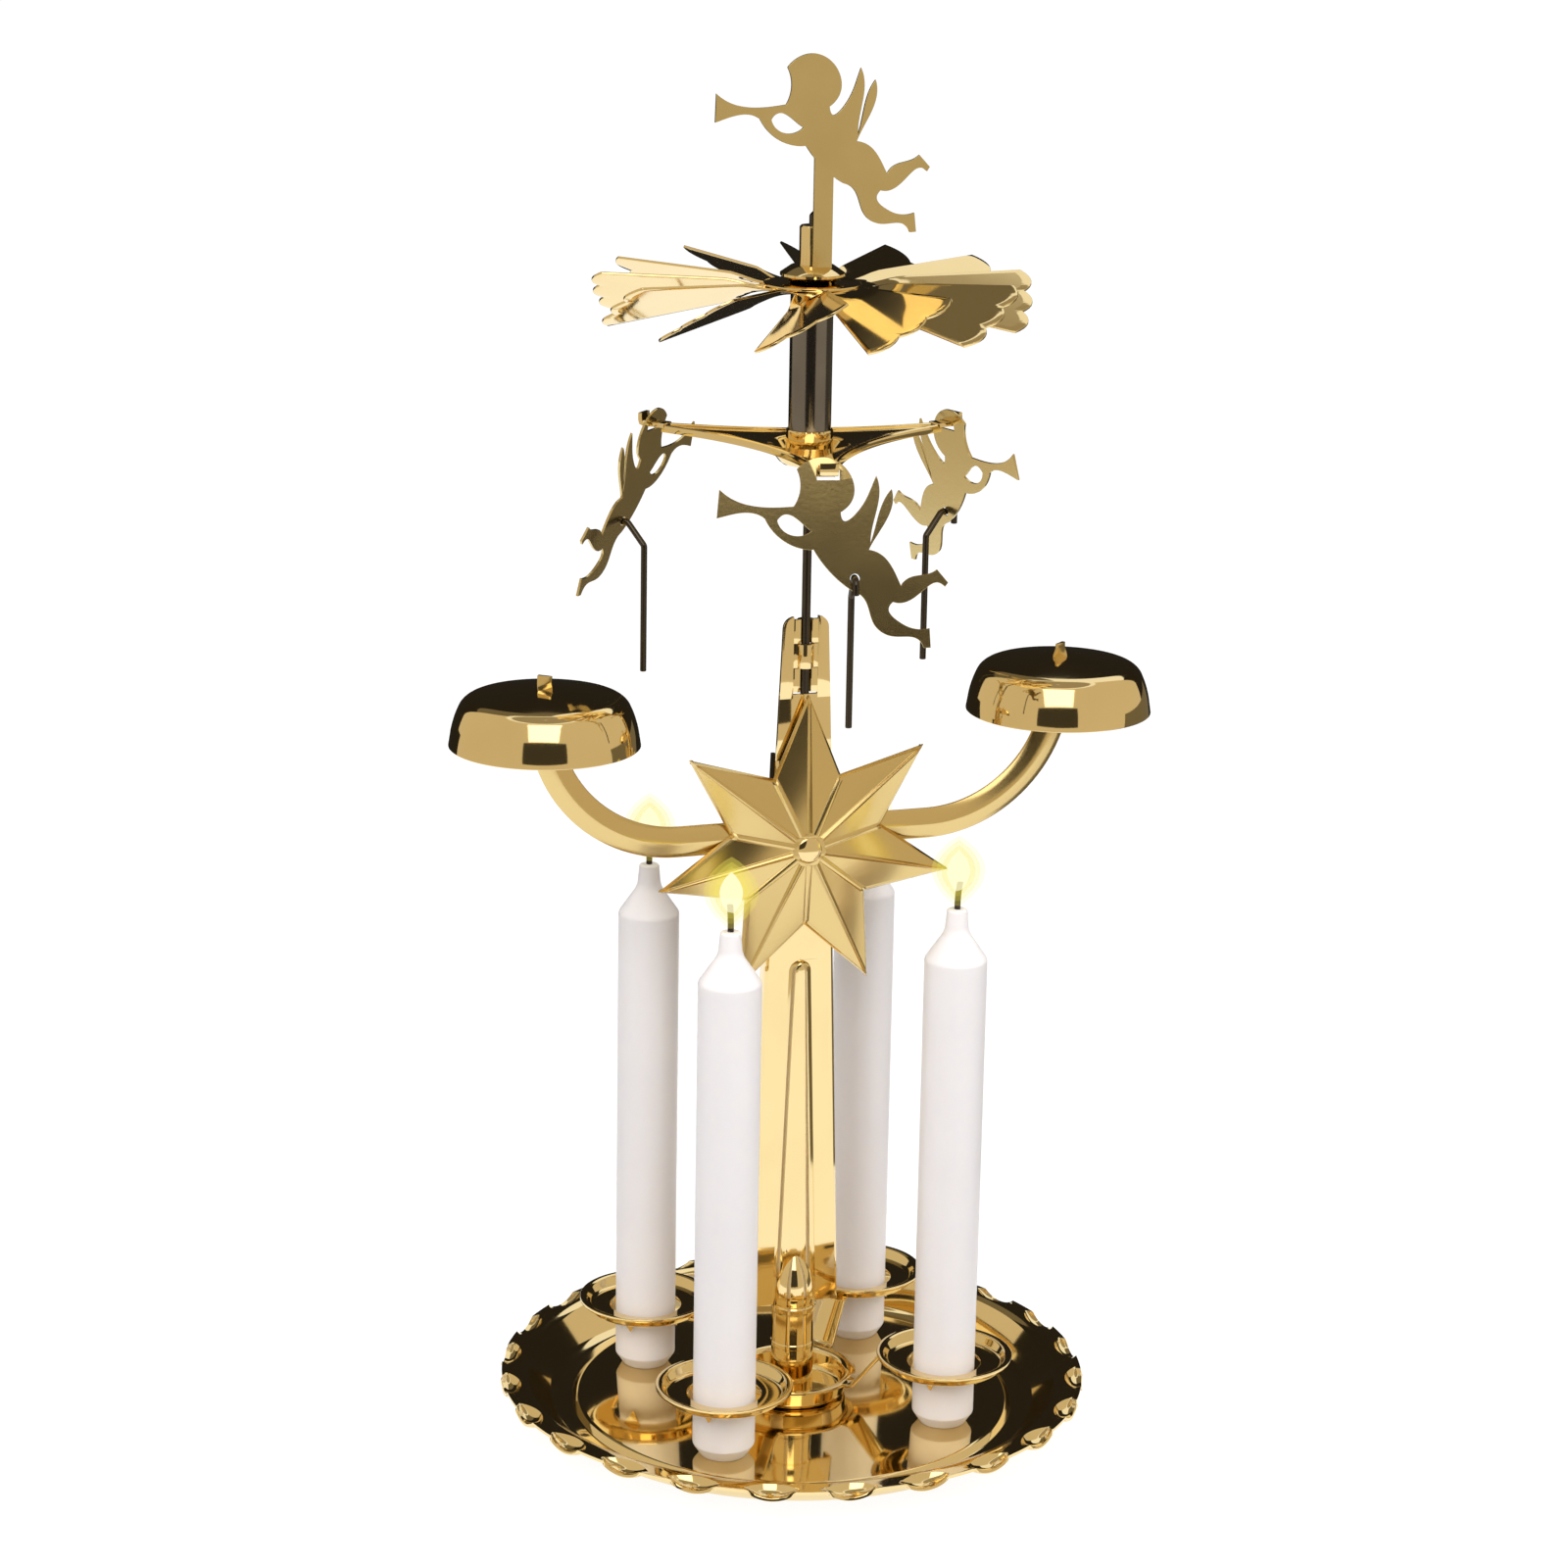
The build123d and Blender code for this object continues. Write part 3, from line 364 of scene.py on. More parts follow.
def skinned(sections, close=False):
    """A surface drawn through sections that have the same number of points."""
    shell = bmesh.new()
    verts, edges = wire(shell, sections[0], close)
    for section in sections[1:]:
        made = bmesh.ops.extrude_edge_only(shell, edges=edges)["geom"]
        ordered = follow(only(made, BMVert), verts)
        for vert, point in zip(ordered, section):
            vert.co = point
        verts = ordered
        ends = verts[1:] + verts[:1] if close else verts[1:]
        edges = [shell.edges.get(pair) for pair in zip(verts, ends) if shell.edges.get(pair)]
    return shell


def follow(fresh, verts):
    """The extruded points in the order of the points that they came from."""
    chosen = set(fresh)
    linked = [[edge.other_vert(vert) for edge in vert.link_edges] for vert in verts]
    return [next(other for other in others if other in chosen) for others in linked]


def aim(shell, direction):
    """Turns an open surface to face a direction."""
    total = sum((face.calc_area() * face.normal for face in closed(shell).faces), Vector())
    if total.dot(direction) < 0:
        bmesh.ops.reverse_faces(shell, faces=shell.faces[:])
    return shell


def move(shell, matrix):
    bmesh.ops.transform(shell, matrix=matrix, verts=shell.verts[:])
    return shell


def joined(*shells):
    """Several shells as one."""
    whole = bmesh.new()
    for shell in shells:
        mesh = bpy.data.meshes.new("shell")
        shell.to_mesh(mesh)
        shell.free()
        whole.from_mesh(mesh)
        bpy.data.meshes.remove(mesh)
    return whole


def only(items, kind):
    """The points or the edges among what an operator gives back."""
    return [item for item in items if isinstance(item, kind)]


def run(shell, edges, way):
    """Draws edges out along a straight line, and gives those at its end."""
    made = bmesh.ops.extrude_edge_only(shell, edges=edges)["geom"]
    fresh = set(only(made, BMVert))
    bmesh.ops.translate(shell, vec=way, verts=list(fresh))
    return [edge for edge in only(made, BMEdge) if fresh.issuperset(edge.verts)]


def bend_up(shell, edges, centre, angle, steps):
    """Draws edges round a bend in the XZ plane, and gives those at its end."""
    verts = list({vert for edge in edges for vert in edge.verts})
    made = bmesh.ops.spin(shell, geom=verts + edges, cent=centre, axis=FRONT, angle=angle, steps=steps)
    return only(made["geom_last"], BMEdge)


def disc(shell, radius, segments, matrix):
    """Draws a round face, and gives its edges."""
    ring = bmesh.ops.create_circle(shell, cap_ends=True, segments=segments, radius=radius, matrix=matrix)
    return list({edge for vert in ring["verts"] for edge in vert.link_edges})


def bent_wire(radius, start, steps, bend=1.0):
    """Wire that sets out upwards, and bends inwards after each straight run."""
    shell = bmesh.new()
    point, way = Vector(start), Vector(UP)
    edges = disc(shell, radius, 14, Matrix.Translation(point))
    for length, degrees in steps:
        edges = run(shell, edges, way * length)
        point = point + way * length
        if degrees:
            centre = point + Vector((-way.z, 0, way.x)) * bend
            turn = Matrix.Rotation(math.radians(-degrees), 3, "Y")
            edges = bend_up(shell, edges, centre, math.radians(degrees), 6)
            point, way = centre + turn @ (point - centre), turn @ way
    bmesh.ops.contextual_create(shell, geom=edges)
    return closed(shell)


def about_z(degrees):
    return Matrix.Rotation(math.radians(degrees), 4, "Z")


def as_object(name, shell, material):
    """An object made of a shell, and put in the scene."""
    mesh = bpy.data.meshes.new(name)
    shell.to_mesh(mesh)
    shell.free()
    mesh.materials.append(material)
    thing = bpy.data.objects.new(name, mesh)
    bpy.context.scene.collection.objects.link(thing)
    return thing


def make_piece(name, shell, look, body, nodes=(), sheet=0.0, edge=0.0, crease=CREASE):
    """Makes an object of a shell in mm, finishes it and sets it on its body."""
    bmesh.ops.scale(welded(shell), vec=(MM, MM, MM), verts=shell.verts[:])
    piece = as_object(name, shell, finish(look))
    piece.data.shade_smooth()
    piece.data.set_sharp_from_angle(angle=math.radians(crease))
    if sheet:
        wall = piece.modifiers.new("Wall", "SOLIDIFY")
        wall.thickness = sheet
        wall.offset = -1.0
        wall.use_even_offset = True
    if edge:
        soft = piece.modifiers.new("Cut edge", "BEVEL")
        soft.width = edge
        soft.segments = 2
        soft.limit_method = "ANGLE"
        soft.angle_limit = math.radians(CREASE)
        soft.use_clamp_overlap = True
    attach(piece, body)
    if nodes:
        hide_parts(*nodes)


class ChimeOperator(bpy.types.Operator):
    """Base of the operators that make pieces"""

    bl_options = {"UNDO"}

    @property
    def sizes(self):
        return bpy.context.scene.chime_sizes


class CHIME_OT_tray(ChimeOperator):
    """Presses the tray with its foot ring and dimpled flange"""

    bl_idname = "chime.tray"
    bl_label = "Tray"

    def execute(self, context):
        sizes = self.sizes
        sector = FULL_TURN / sizes.dimple_count
        points = [(0, TRAY_FLOOR), (45.05, TRAY_FLOOR), (46.25, 0.6), (50.05, 0.6), (56.05, FLANGE_HEIGHT),
                  (TRAY_EDGE, FLANGE_HEIGHT)]
        shell = bent_line([(radius, 0, height) for radius, height in points], (0.96, 0.36, 3.42, 2.7))
        flange = [e for e in shell.edges if max(v.co.x for v in e.verts) > TRAY_EDGE - 0.05]
        bmesh.ops.subdivide_edges(shell, edges=flange, cuts=FLANGE_ROWS - 1)
        spun(shell, sector, 22)
        self.press(shell, sector, sizes.dimple_depth / MM)
        spun(shell, FULL_TURN - sector, sizes.dimple_count - 1, use_duplicate=True)
        make_piece("base_tray_pressed", aim(welded(shell, 1e-3), UP), "polished_brass", "stand",
                   ["base_tray"], sheet=sizes.tray_sheet, edge=sizes.cut_edge)
        return {"FINISHED"}

    @staticmethod
    def press(shell, sector, depth):
        """Draws the flange's points to the outline of one lens-shaped dimple, and presses the lens down."""
        lens_length, lens_bulge, lens_middle = 12.4, 2.5, 59.9
        flange, edge = 57.3, TRAY_EDGE
        inner_rows, lens_rows = 3, 7
        outer_rows = FLANGE_ROWS - inner_rows - lens_rows
        lift = lens_bulge - depth
        for vert in shell.verts:
            radius = math.hypot(vert.co.x, vert.co.y)
            if radius < flange - 1e-4:
                continue
            angle = math.atan2(vert.co.y, vert.co.x)
            along = lens_middle * math.sin(angle - sector / 2)
            bulge = max(0.0, lens_bulge * (1 - (2 * along / lens_length) ** 2))
            half = math.sqrt(max(0.0, bulge ** 2 - lift ** 2))
            inner, outer = lens_middle - half, min(edge, lens_middle + half)
            row = round(FLANGE_ROWS * (radius - flange) / (edge - flange))
            if row <= inner_rows:
                fresh = flange + (inner - flange) * row / inner_rows
            elif row <= inner_rows + lens_rows:
                fresh = inner + (outer - inner) * (row - inner_rows) / lens_rows
            else:
                fresh = outer + (edge - outer) * (row - inner_rows - lens_rows) / outer_rows
            across = fresh - lens_middle
            if half and abs(across) < half:
                vert.co.z -= math.sqrt(bulge ** 2 - across ** 2) - lift
            vert.co.x, vert.co.y = fresh * math.cos(angle), fresh * math.sin(angle)


class CHIME_OT_rack(ChimeOperator):
    """Forms the candle rack: cup, arms and pronged drip rings"""

    bl_idname = "chime.rack"
    bl_label = "Candle rack"

    def execute(self, context):
        cup = turned([(0, SOCKET_FOOT), (10.6, SOCKET_FOOT), (11.3, CUP_LIP), (13.4, CUP_LIP)], (1.12, 1.12))
        shells = [aim(cup, UP)]
        rim = RING_FLOOR + 2
        for angle in CANDLE_ANGLES:
            turn = about_z(angle)
            place = turn @ Matrix.Translation((CANDLE_CIRCLE, 0, 0))
            dish = turned([(7.55, RING_FLOOR), (11.6, RING_FLOOR), (12.8, rim), (14.0, rim)],
                          (0.98, 0.98), 72)
            shells.append(move(aim(dish, UP), place))
            shells.append(move(self.arm(), turn))
            shells += [move(self.prong(), place @ about_z(90 * prong)) for prong in range(4)]
        make_piece("candle_rack_formed", joined(*shells), "polished_brass", "stand", ["candle_rack"],
                   sheet=self.sizes.rack_sheet, edge=self.sizes.cut_edge)
        return {"FINISHED"}

    @staticmethod
    def arm():
        """Flat arm from the cup's lip up to a drip ring."""
        width, over = 6.2, 0.02
        low, high = CUP_LIP + over, RING_FLOOR + over
        points = [(12.7, low), (14.6, low), (20.8, high), (22.7, high)]
        shell = bent_line([(radius, -width / 2, height) for radius, height in points], (1.4, 1.4))
        run(shell, shell.edges[:], (0, width, 0))
        return aim(shell, UP)

    @staticmethod
    def prong():
        """Pointed prong bent down from the drip ring's hole to the candle."""
        rows = ((8.2, 2.2, 0.01), (7.6, 2.1, -0.1), (7.25, 1.3, -1.4), (6.68, 0.15, -3.6))
        sections = [[(x, -half, RING_FLOOR + z), (x, half, RING_FLOOR + z)] for x, half, z in rows]
        return aim(skinned(sections), (-1, 0, 0.4))


class CHIME_OT_column(ChimeOperator):
    """Presses the column with its rib and loops, and turns its socket"""

    bl_idname = "chime.column"
    bl_label = "Column"

    def execute(self, context):
        socket = turned([(3.6, SOCKET_FOOT), (4.4, SOCKET_FOOT), (4.4, 12.6), (4.55, 12.8), (4.55, 13.6),
                         (4.4, 13.8), (4.4, 20.4), (4.6, 20.7), (4.6, 21.7), (4.35, SOCKET_TOP),
                         (3.6, SOCKET_TOP)], close=True, steps=64)
        make_piece("column_socket_drawn", closed(socket), "polished_brass", "stand",
                   ["column_socket"], crease=15)
        loop_foot, loop_step = 154.2, 5.05
        shells = [self.lower(), self.boss(), self.upper(), self.prong(1), self.prong(-1), self.tongue()]
        shells += [self.loop(loop_foot + loop_step * n, side) for n, side in enumerate((1, -1, 1))]
        make_piece("column_pressed", joined(*shells), "polished_brass", "stand", ["column"],
                   sheet=self.sizes.strip_sheet, edge=self.sizes.cut_edge)
        return {"FINISHED"}

    @staticmethod
    def lower():
        """Strip with turned-back edges and a raised rib that narrows to a round end."""
        foot_half, neck_half, flank, corner = 9.8, 5.85, 3.8, 0.6
        rib_foot, rib_end, rib_top, rib_rise = 4.8, 2.35, 97.5, 1.1
        rib_round = rib_top - rib_end
        heights = [SOCKET_TOP, 36.0, 48.0, 64.0, 80.0, rib_round]
        heights += [rib_round + rib_end * math.sin(math.radians(a)) for a in range(15, 91, 15)]
        heights += [rib_top + 0.1, rib_top + 0.4, 108.0, 122.0, COLUMN_NECK]
        sections = []
        for height in heights:
            climb = height - SOCKET_TOP
            half = foot_half + (neck_half - foot_half) * climb / (COLUMN_NECK - SOCKET_TOP)
            base = rib_foot + (rib_end - rib_foot) * min(1.0, climb / (rib_round - SOCKET_TOP))
            over = max(0.0, min(1.0, (height - rib_round) / rib_end))
            base *= max(0.02, math.sqrt(1 - over * over))
            rise = min(rib_rise, base * 0.8) if over < 1 else 0.0
            top = max(0.01, base - 0.85 * rise)
            side = [(half, flank), (half, corner), (half - corner, 0), (base + 0.01, 0),
                    (top, -0.8 * rise), (0.5 * top, -rise)]
            line = [(-x, y) for x, y in side] + side[::-1]
            sections.append([(x, COLUMN_FRONT + y, height) for x, y in line])
        return aim(skinned(sections), FRONT)

    @staticmethod
    def boss():
        """Pointed boss pressed out of the rib's foot."""
        height, steps = 12.8, 12
        angles = [math.radians(a) for a in range(-80, 81, 10)]
        sections = []
        for step in range(steps + 1):
            share = step / steps
            radius = max(0.03, 4.1 * (1 - share) + 6.7 * share * (1 - share))
            level = SOCKET_TOP + height * share
            sections.append([(radius * math.sin(a), -radius * math.cos(a), level) for a in angles])
        return aim(skinned(sections), FRONT)

    @staticmethod
    def upper():
        """Plain strip between the neck and the lanced top."""
        front = COLUMN_FRONT - 0.02
        rows = [(COLUMN_NECK - 0.8, 5.87), (147.0, 5.61), (WINDOW_FOOT, 5.36)]
        return aim(skinned([[(-half, front, z), (half, front, z)] for z, half in rows]), FRONT)

    @staticmethod
    def prong(side):
        """One side of the lanced top, with a round outer corner."""
        front, inner, corner = COLUMN_FRONT - 0.04, 2.6, 2.4
        round_foot = COLUMN_TOP - corner
        rows = [(WINDOW_FOOT - 0.8, 5.38), (160.0, 5.09), (round_foot, 2 * corner)]
        for angle in [math.radians(a) for a in (15, 30, 45, 60, 75, 84)]:
            rows.append((round_foot + corner * math.sin(angle), corner + corner * math.cos(angle)))
        sections = [[(side * inner, front, z), (side * max(half, inner + 0.02), front, z)]
                    for z, half in rows]
        return aim(skinned(sections), FRONT)

    @staticmethod
    def loop(bottom, side):
        """Strip lanced out of the column and bulged round the spindle."""
        outer, half, height = 1.75, 2.7, 4.9
        flat = -side * COLUMN_FRONT
        root = outer * math.cos(math.radians(13))
        line = [(-half, flat), (-root, flat)]
        line += [(outer * math.cos(math.radians(a)), side * outer * math.sin(math.radians(a)))
                 for a in range(155, 20, -15)]
        line += [(root, flat), (half, flat)]
        sections = [[(x, y, z) for x, y in line] for z in (bottom, bottom + height)]
        return aim(skinned(sections), (0, side, 0))

    @staticmethod
    def tongue():
        """Foot tab folded over under the tray."""
        half, reach, level = 3.2, 6.4, 1.4
        sections = [[(-half, y, level), (half, y, level)] for y in (COLUMN_FRONT, reach)]
        return aim(skinned(sections), UP)


class CHIME_OT_star(ChimeOperator):
    """Presses the star and sets its rivet"""

    bl_idname = "chime.star"
    bl_label = "Star"

    def execute(self, context):
        rise, bead = self.sizes.star_rise / MM, self.sizes.star_bead / MM
        rings = [(32.0, 16.5, 0.0, 0.0), (30.9, 15.75, 0.75, 0.5), (29.3, 15.1, 0.95, 1.0),
                 (3.7, 3.3, rise, 1.0)]
        sections = [self.ring(point, valley, -STAR_BACK - lift, bead * share)
                    for point, valley, lift, share in rings]
        shell = skinned(sections, close=True)
        head = STAR_BACK + rise
        bmesh.ops.contextual_create(shell, geom=[e for e in shell.edges if e.is_boundary
                                                 and all(v.co.y < 0.01 - head for v in e.verts)])
        make_piece("star_pressed", aim(shell, FRONT), "pressed_brass", "stand", ["star"],
                   sheet=self.sizes.star_sheet, edge=self.sizes.cut_edge, crease=25)
        rivet = turned([(0, -1.1), (2.4, -1.1), (2.4, -0.4), (1.5, -0.4), (1.5, head), (2.8, head),
                        (2.75, head + 0.2), (2.3, head + 0.45), (1.4, head + 0.63), (0, head + 0.7)],
                       steps=48)
        move(closed(rivet), Matrix.Translation((0, 0, STAR_HEIGHT)) @ Matrix.Rotation(QUARTER, 4, "X"))
        make_piece("star_rivet_set", rivet, "polished_brass", "stand", ["star_rivet"], crease=50)
        return {"FINISHED"}

    @staticmethod
    def ring(point, valley, depth, bead):
        """Star outline of one size, at one depth, with a half-round bead at each corner."""
        corners = []
        for i in range(2 * STAR_POINTS):
            radius = valley if i % 2 else point
            angle = math.radians(90 + i * 180 / STAR_POINTS)
            corners.append(Vector((radius * math.cos(angle), depth, STAR_HEIGHT + radius * math.sin(angle))))
        side = (corners[1] - corners[0]).length
        bead_width = 0.9
        width = min(bead_width, 0.45 * side)
        bow = ((-1, 1.0, 0.0), (-1, 0.5, 0.72), (0, 0.0, 1.0), (1, 0.5, 0.72), (1, 1.0, 0.0))
        points = []
        for i, corner in enumerate(corners):
            for other, share, lift in bow:
                place = corner.lerp(corners[(i + other) % len(corners)], share * width / side)
                points.append(place - Vector((0, bead * lift * width / bead_width, 0)))
        return points


class CHIME_OT_bell_arms(ChimeOperator):
    """Bends the ridged strap that carries the bells"""

    bl_idname = "chime.bell_arms"
    bl_label = "Bell arms"

    def execute(self, context):
        shells = [self.strap(), self.strap(), self.tongue(), self.tongue(), self.pad()]
        for shell in shells[1:4:2]:
            bmesh.ops.scale(shell, vec=(-1, 1, 1), verts=shell.verts[:])
            aim(shell, FRONT)
        make_piece("bell_arms_bent", joined(*shells), "pressed_brass", "stand", ["bell_arms"],
                   sheet=self.sizes.strip_sheet, edge=self.sizes.cut_edge)
        return {"FINISHED"}

    @staticmethod
    def strap():
        """Half of the strap: straight, bent up through a quarter turn, then straight to the bell."""
        bend, half, ridge, edge_roll = 28.0, 3.3, 1.1, 0.2
        start = BELL_REACH - bend
        section = []
        for mark in (-1.0, -0.88, -0.6, -0.3, -0.06, 0.06, 0.3, 0.6, 0.88, 1.0):
            lift = ridge * (1 - abs(mark) ** 1.1) - (edge_roll if abs(mark) == 1.0 else 0)
            section.append((0, -STRAP_BACK - lift, ARM_HEIGHT + half * mark))
        shell = bmesh.new()
        _, edges = wire(shell, section)
        edges = run(shell, edges, (start, 0, 0))
        edges = bend_up(shell, edges, (start, 0, ARM_HEIGHT + bend), QUARTER, 28)
        run(shell, edges, (0, 0, BELL_SEAT - ARM_HEIGHT - bend))
        return aim(shell, FRONT)

    @staticmethod
    def tongue():
        """Flat tongue through the bell, twisted above it."""
        half, front = 1.5, 0.4
        sections = []
        for height, twist in ((156.9, 0), (158.6, 0), (159.1, 14), (159.7, 30), (160.4, 40), (161.4, 40)):
            turn = math.radians(twist)
            side = Vector((math.cos(turn), math.sin(turn), 0)) * half
            ahead = Vector((math.sin(turn), -math.cos(turn), 0)) * front
            middle = Vector((BELL_REACH, BELL_DEPTH, height)) + ahead
            sections.append([middle - side, middle + side])
        return aim(skinned(sections), FRONT)

    @staticmethod
    def pad():
        """Round pad between the star and the column."""
        shell = bmesh.new()
        place = Matrix.Translation((0, -STRAP_BACK, STAR_HEIGHT)) @ Matrix.Rotation(QUARTER, 4, "X")
        disc(shell, 7.5, 48, place)
        return aim(shell, FRONT)


class CHIME_OT_bells(ChimeOperator):
    """Spins the shallow bells"""

    bl_idname = "chime.bells"
    bl_label = "Bells"

    def execute(self, context):
        for side, name in ((-1, "bell_left"), (1, "bell_right")):
            shell = turned([(0, 11.2), (4.5, 11.2), (16.1, 9.7), (18.2, 5.0), (19.0, 0)],
                           (20.0, 3.6, 16.0), 128)
            move(aim(shell, UP), Matrix.Translation((side * BELL_REACH, BELL_DEPTH, BELL_RIM)))
            make_piece(f"{name}_spun", shell, "polished_brass", "stand", [name],
                       sheet=self.sizes.strip_sheet, edge=self.sizes.cut_edge)
        return {"FINISHED"}


class CHIME_OT_pivot(ChimeOperator):
    """Turns the spindle, the rotor tube, the sleeve, the double cone and the pin"""

    bl_idname = "chime.pivot"
    bl_label = "Spindle and pivot"

    def execute(self, context):
        foot, point, wire_radius = 153.9, 245.3, 0.9
        sleeve_foot, tube_bore, tube = TUBE_TOP - 8.0, 3.75, 4.25
        pin_foot, pin_top, nip, slant = 244.6, 251.4, 250.55, math.radians(40)
        rows = [
            ("spindle_drawn", "spindle", "stand", "wire", False,
             [(0, foot), (wire_radius, foot), (wire_radius, point - 4.0), (0.15, point), (0, point)]),
            ("rotor_tube_drawn", "rotor_tube", "rotor", "steel", True,
             [(tube_bore, TUBE_FOOT), (tube, TUBE_FOOT), (tube, TUBE_TOP), (tube_bore, TUBE_TOP)]),
            ("hub_sleeve_turned", "hub_sleeve", "rotor", "polished_brass", True,
             [(1.55, sleeve_foot), (2.7, sleeve_foot), (2.7, SLEEVE_TOP - 0.3), (2.45, SLEEVE_TOP),
              (1.55, SLEEVE_TOP)]),
            ("hub_collar_turned", "hub_collar", "rotor", "polished_brass", True,
             [(HUB_BORE, TURBINE_TOP), (4.3, TURBINE_TOP), (6.4, 238.25), (6.4, 238.75), (4.3, COLLAR_TOP),
              (HUB_BORE, COLLAR_TOP)]),
        ]
        for piece, node, body, look, close, section in rows:
            make_piece(piece, closed(turned(section, steps=64, close=close)), look, body, [node])
        pin = turned([(0, pin_foot + 1.0), (1.1, pin_foot), (1.5, pin_foot), (1.5, SLEEVE_TOP),
                      (0.85, SLEEVE_TOP), (0.85, pin_top), (0, pin_top)], steps=32)
        cut = bmesh.ops.bisect_plane(pin, geom=pin.verts[:] + pin.edges[:] + pin.faces[:],
                                     plane_co=(0, 0, nip), plane_no=(-math.sin(slant), 0, math.cos(slant)),
                                     clear_outer=True)
        bmesh.ops.contextual_create(pin, geom=only(cut["geom_cut"], BMEdge))
        make_piece("pivot_pin_nipped", closed(pin), "wire", "rotor", ["pivot_pin"], edge=self.sizes.cut_edge)
        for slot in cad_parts["tube_bush"].material_slots:
            slot.material = finish("polished_brass")
        return {"FINISHED"}


class CHIME_OT_turbine(ChimeOperator):
    """Stamps the turbine wheel and twists its blades"""

    bl_idname = "chime.turbine"
    bl_label = "Turbine wheel"

    def execute(self, context):
        hub = turned([(HUB_BORE, 0), (5.0, 0), (9.6, 0)])
        shells = [aim(hub, UP)]
        first_blade, blades = 8.0, 12
        shells += [move(self.blade(), about_z(first_blade + 360 / blades * n)) for n in range(blades)]
        wheel = move(joined(*shells), Matrix.Translation((0, 0, TURBINE_TOP)))
        make_piece("turbine_wheel_stamped", wheel, "polished_brass", "rotor", ["turbine_wheel"],
                   sheet=self.sizes.blade_sheet, edge=0.6 * self.sizes.cut_edge)
        return {"FINISHED"}

    def blade(self):
        """One blade: a flat neck on the hub, a quick twist, and round lobes at the outer edge."""
        shell = bmesh.new()
        bmesh.ops.create_grid(shell, x_segments=18, y_segments=24, size=1.0)
        root, edge, tip, neck = 7.4, 41.5, 9.9, 2.2
        lobe, lobe_rise, twist_share = 3.3, 1.7, 0.3
        droop = math.radians(3.5)
        for vert in shell.verts:
            along, across = (vert.co.x + 1) / 2, vert.co.y * tip
            part = (across + tip) % (2 * lobe) / lobe - 1 if abs(across) < tip - 1e-4 else 1.0
            end = math.sqrt(edge ** 2 - across ** 2) + lobe_rise * (1 - part * part)
            reach = root + along * (end - root)
            side = vert.co.y * (neck + (tip - neck) * along)
            step = min(1.0, along / twist_share)
            pitch = self.sizes.blade_pitch * step * step * (3 - 2 * step)
            rise = side * math.sin(pitch)
            vert.co = (reach * math.cos(droop) + rise * math.sin(droop), side * math.cos(pitch),
                       rise * math.cos(droop) - reach * math.sin(droop))
        return aim(shell, UP)


class CHIME_OT_carrier(ChimeOperator):
    """Presses the three-armed carrier that the angels hang on"""

    bl_idname = "chime.carrier"
    bl_label = "Angel carrier"

    def execute(self, context):
        collar = turned([(4.3, CARRIER_FLOOR), (4.7, CARRIER_FLOOR), (4.7, 207.5), (4.55, 207.8),
                         (4.3, 207.8)], close=True, steps=64)
        make_piece("angel_carrier_collar", closed(collar), "polished_brass", "rotor", crease=20)
        shells = [self.trough()]
        shells += [move(self.tongue(), about_z(angle)) for angle in ANGEL_ANGLES]
        make_piece("angel_carrier_pressed", joined(*shells), "polished_brass", "rotor", ["angel_carrier"],
                   sheet=self.sizes.strip_sheet, edge=2 * self.sizes.cut_edge)
        return {"FINISHED"}

    def trough(self):
        """Three level troughs about a funnel, drawn from the funnel's hole out to the rolled rims."""
        floor = 205.2
        ways = [Vector(point).normalized() for point in self.outline(0.8)]
        funnel = [(1.2, TUBE_FOOT), (5.0, TUBE_FOOT), (5.4, 202.0), (7.4, 204.5), (7.9, 205.0), (8.6, floor)]
        rim = ((1.7, 0), (1.42, 0.08), (1.25, 0.3), (0.95, 0.62), (0.55, 0.7), (0.25, 0.5), (0.15, 0.1),
               (0.15, -0.8))
        sections = [[(radius * way.x, radius * way.y, height) for way in ways] for radius, height in funnel]
        sections += [[(x, y, floor + lift) for x, y in self.outline(inset)] for inset, lift in rim]
        return aim(skinned(sections, close=True), UP)

    @staticmethod
    def outline(inset):
        """Outline of the three arms with hollow curved sides, drawn in by the inset."""
        web, radius, tip, tip_half, steps = 12.0, 65.0, 31.9, 1.8, 12
        heading, sweep, valley = math.radians(-30), math.radians(20), math.radians(60)
        centre = (web + radius) * Vector((math.cos(valley), math.sin(valley)))
        half = []
        for step in range(steps + 1):
            angle = heading + sweep * step / steps
            half.append(centre + (radius + inset) * Vector((math.sin(angle), -math.cos(angle))))
        half.append(Vector((tip - inset, tip_half - inset)))
        arm = [Vector((point.x, -point.y)) for point in half] + half[:0:-1]
        points = []
        for angle in ANGEL_ANGLES:
            turn = Matrix.Rotation(math.radians(angle), 2)
            points += [tuple(turn @ point) for point in arm]
        return points

    @staticmethod
    def tongue():
        """Tip that the angel's slot hangs on, turned up at its end."""
        half = 1.8
        line = [(31.2, HINGE_HEIGHT), (35.6, HINGE_HEIGHT), (36.0, HINGE_HEIGHT + 0.15),
                (36.1, HINGE_HEIGHT + 0.5), (36.1, HINGE_HEIGHT + 1.8)]
        return aim(skinned([[(x, -half, z), (x, half, z)] for x, z in line]), (-0.3, 0, 1))


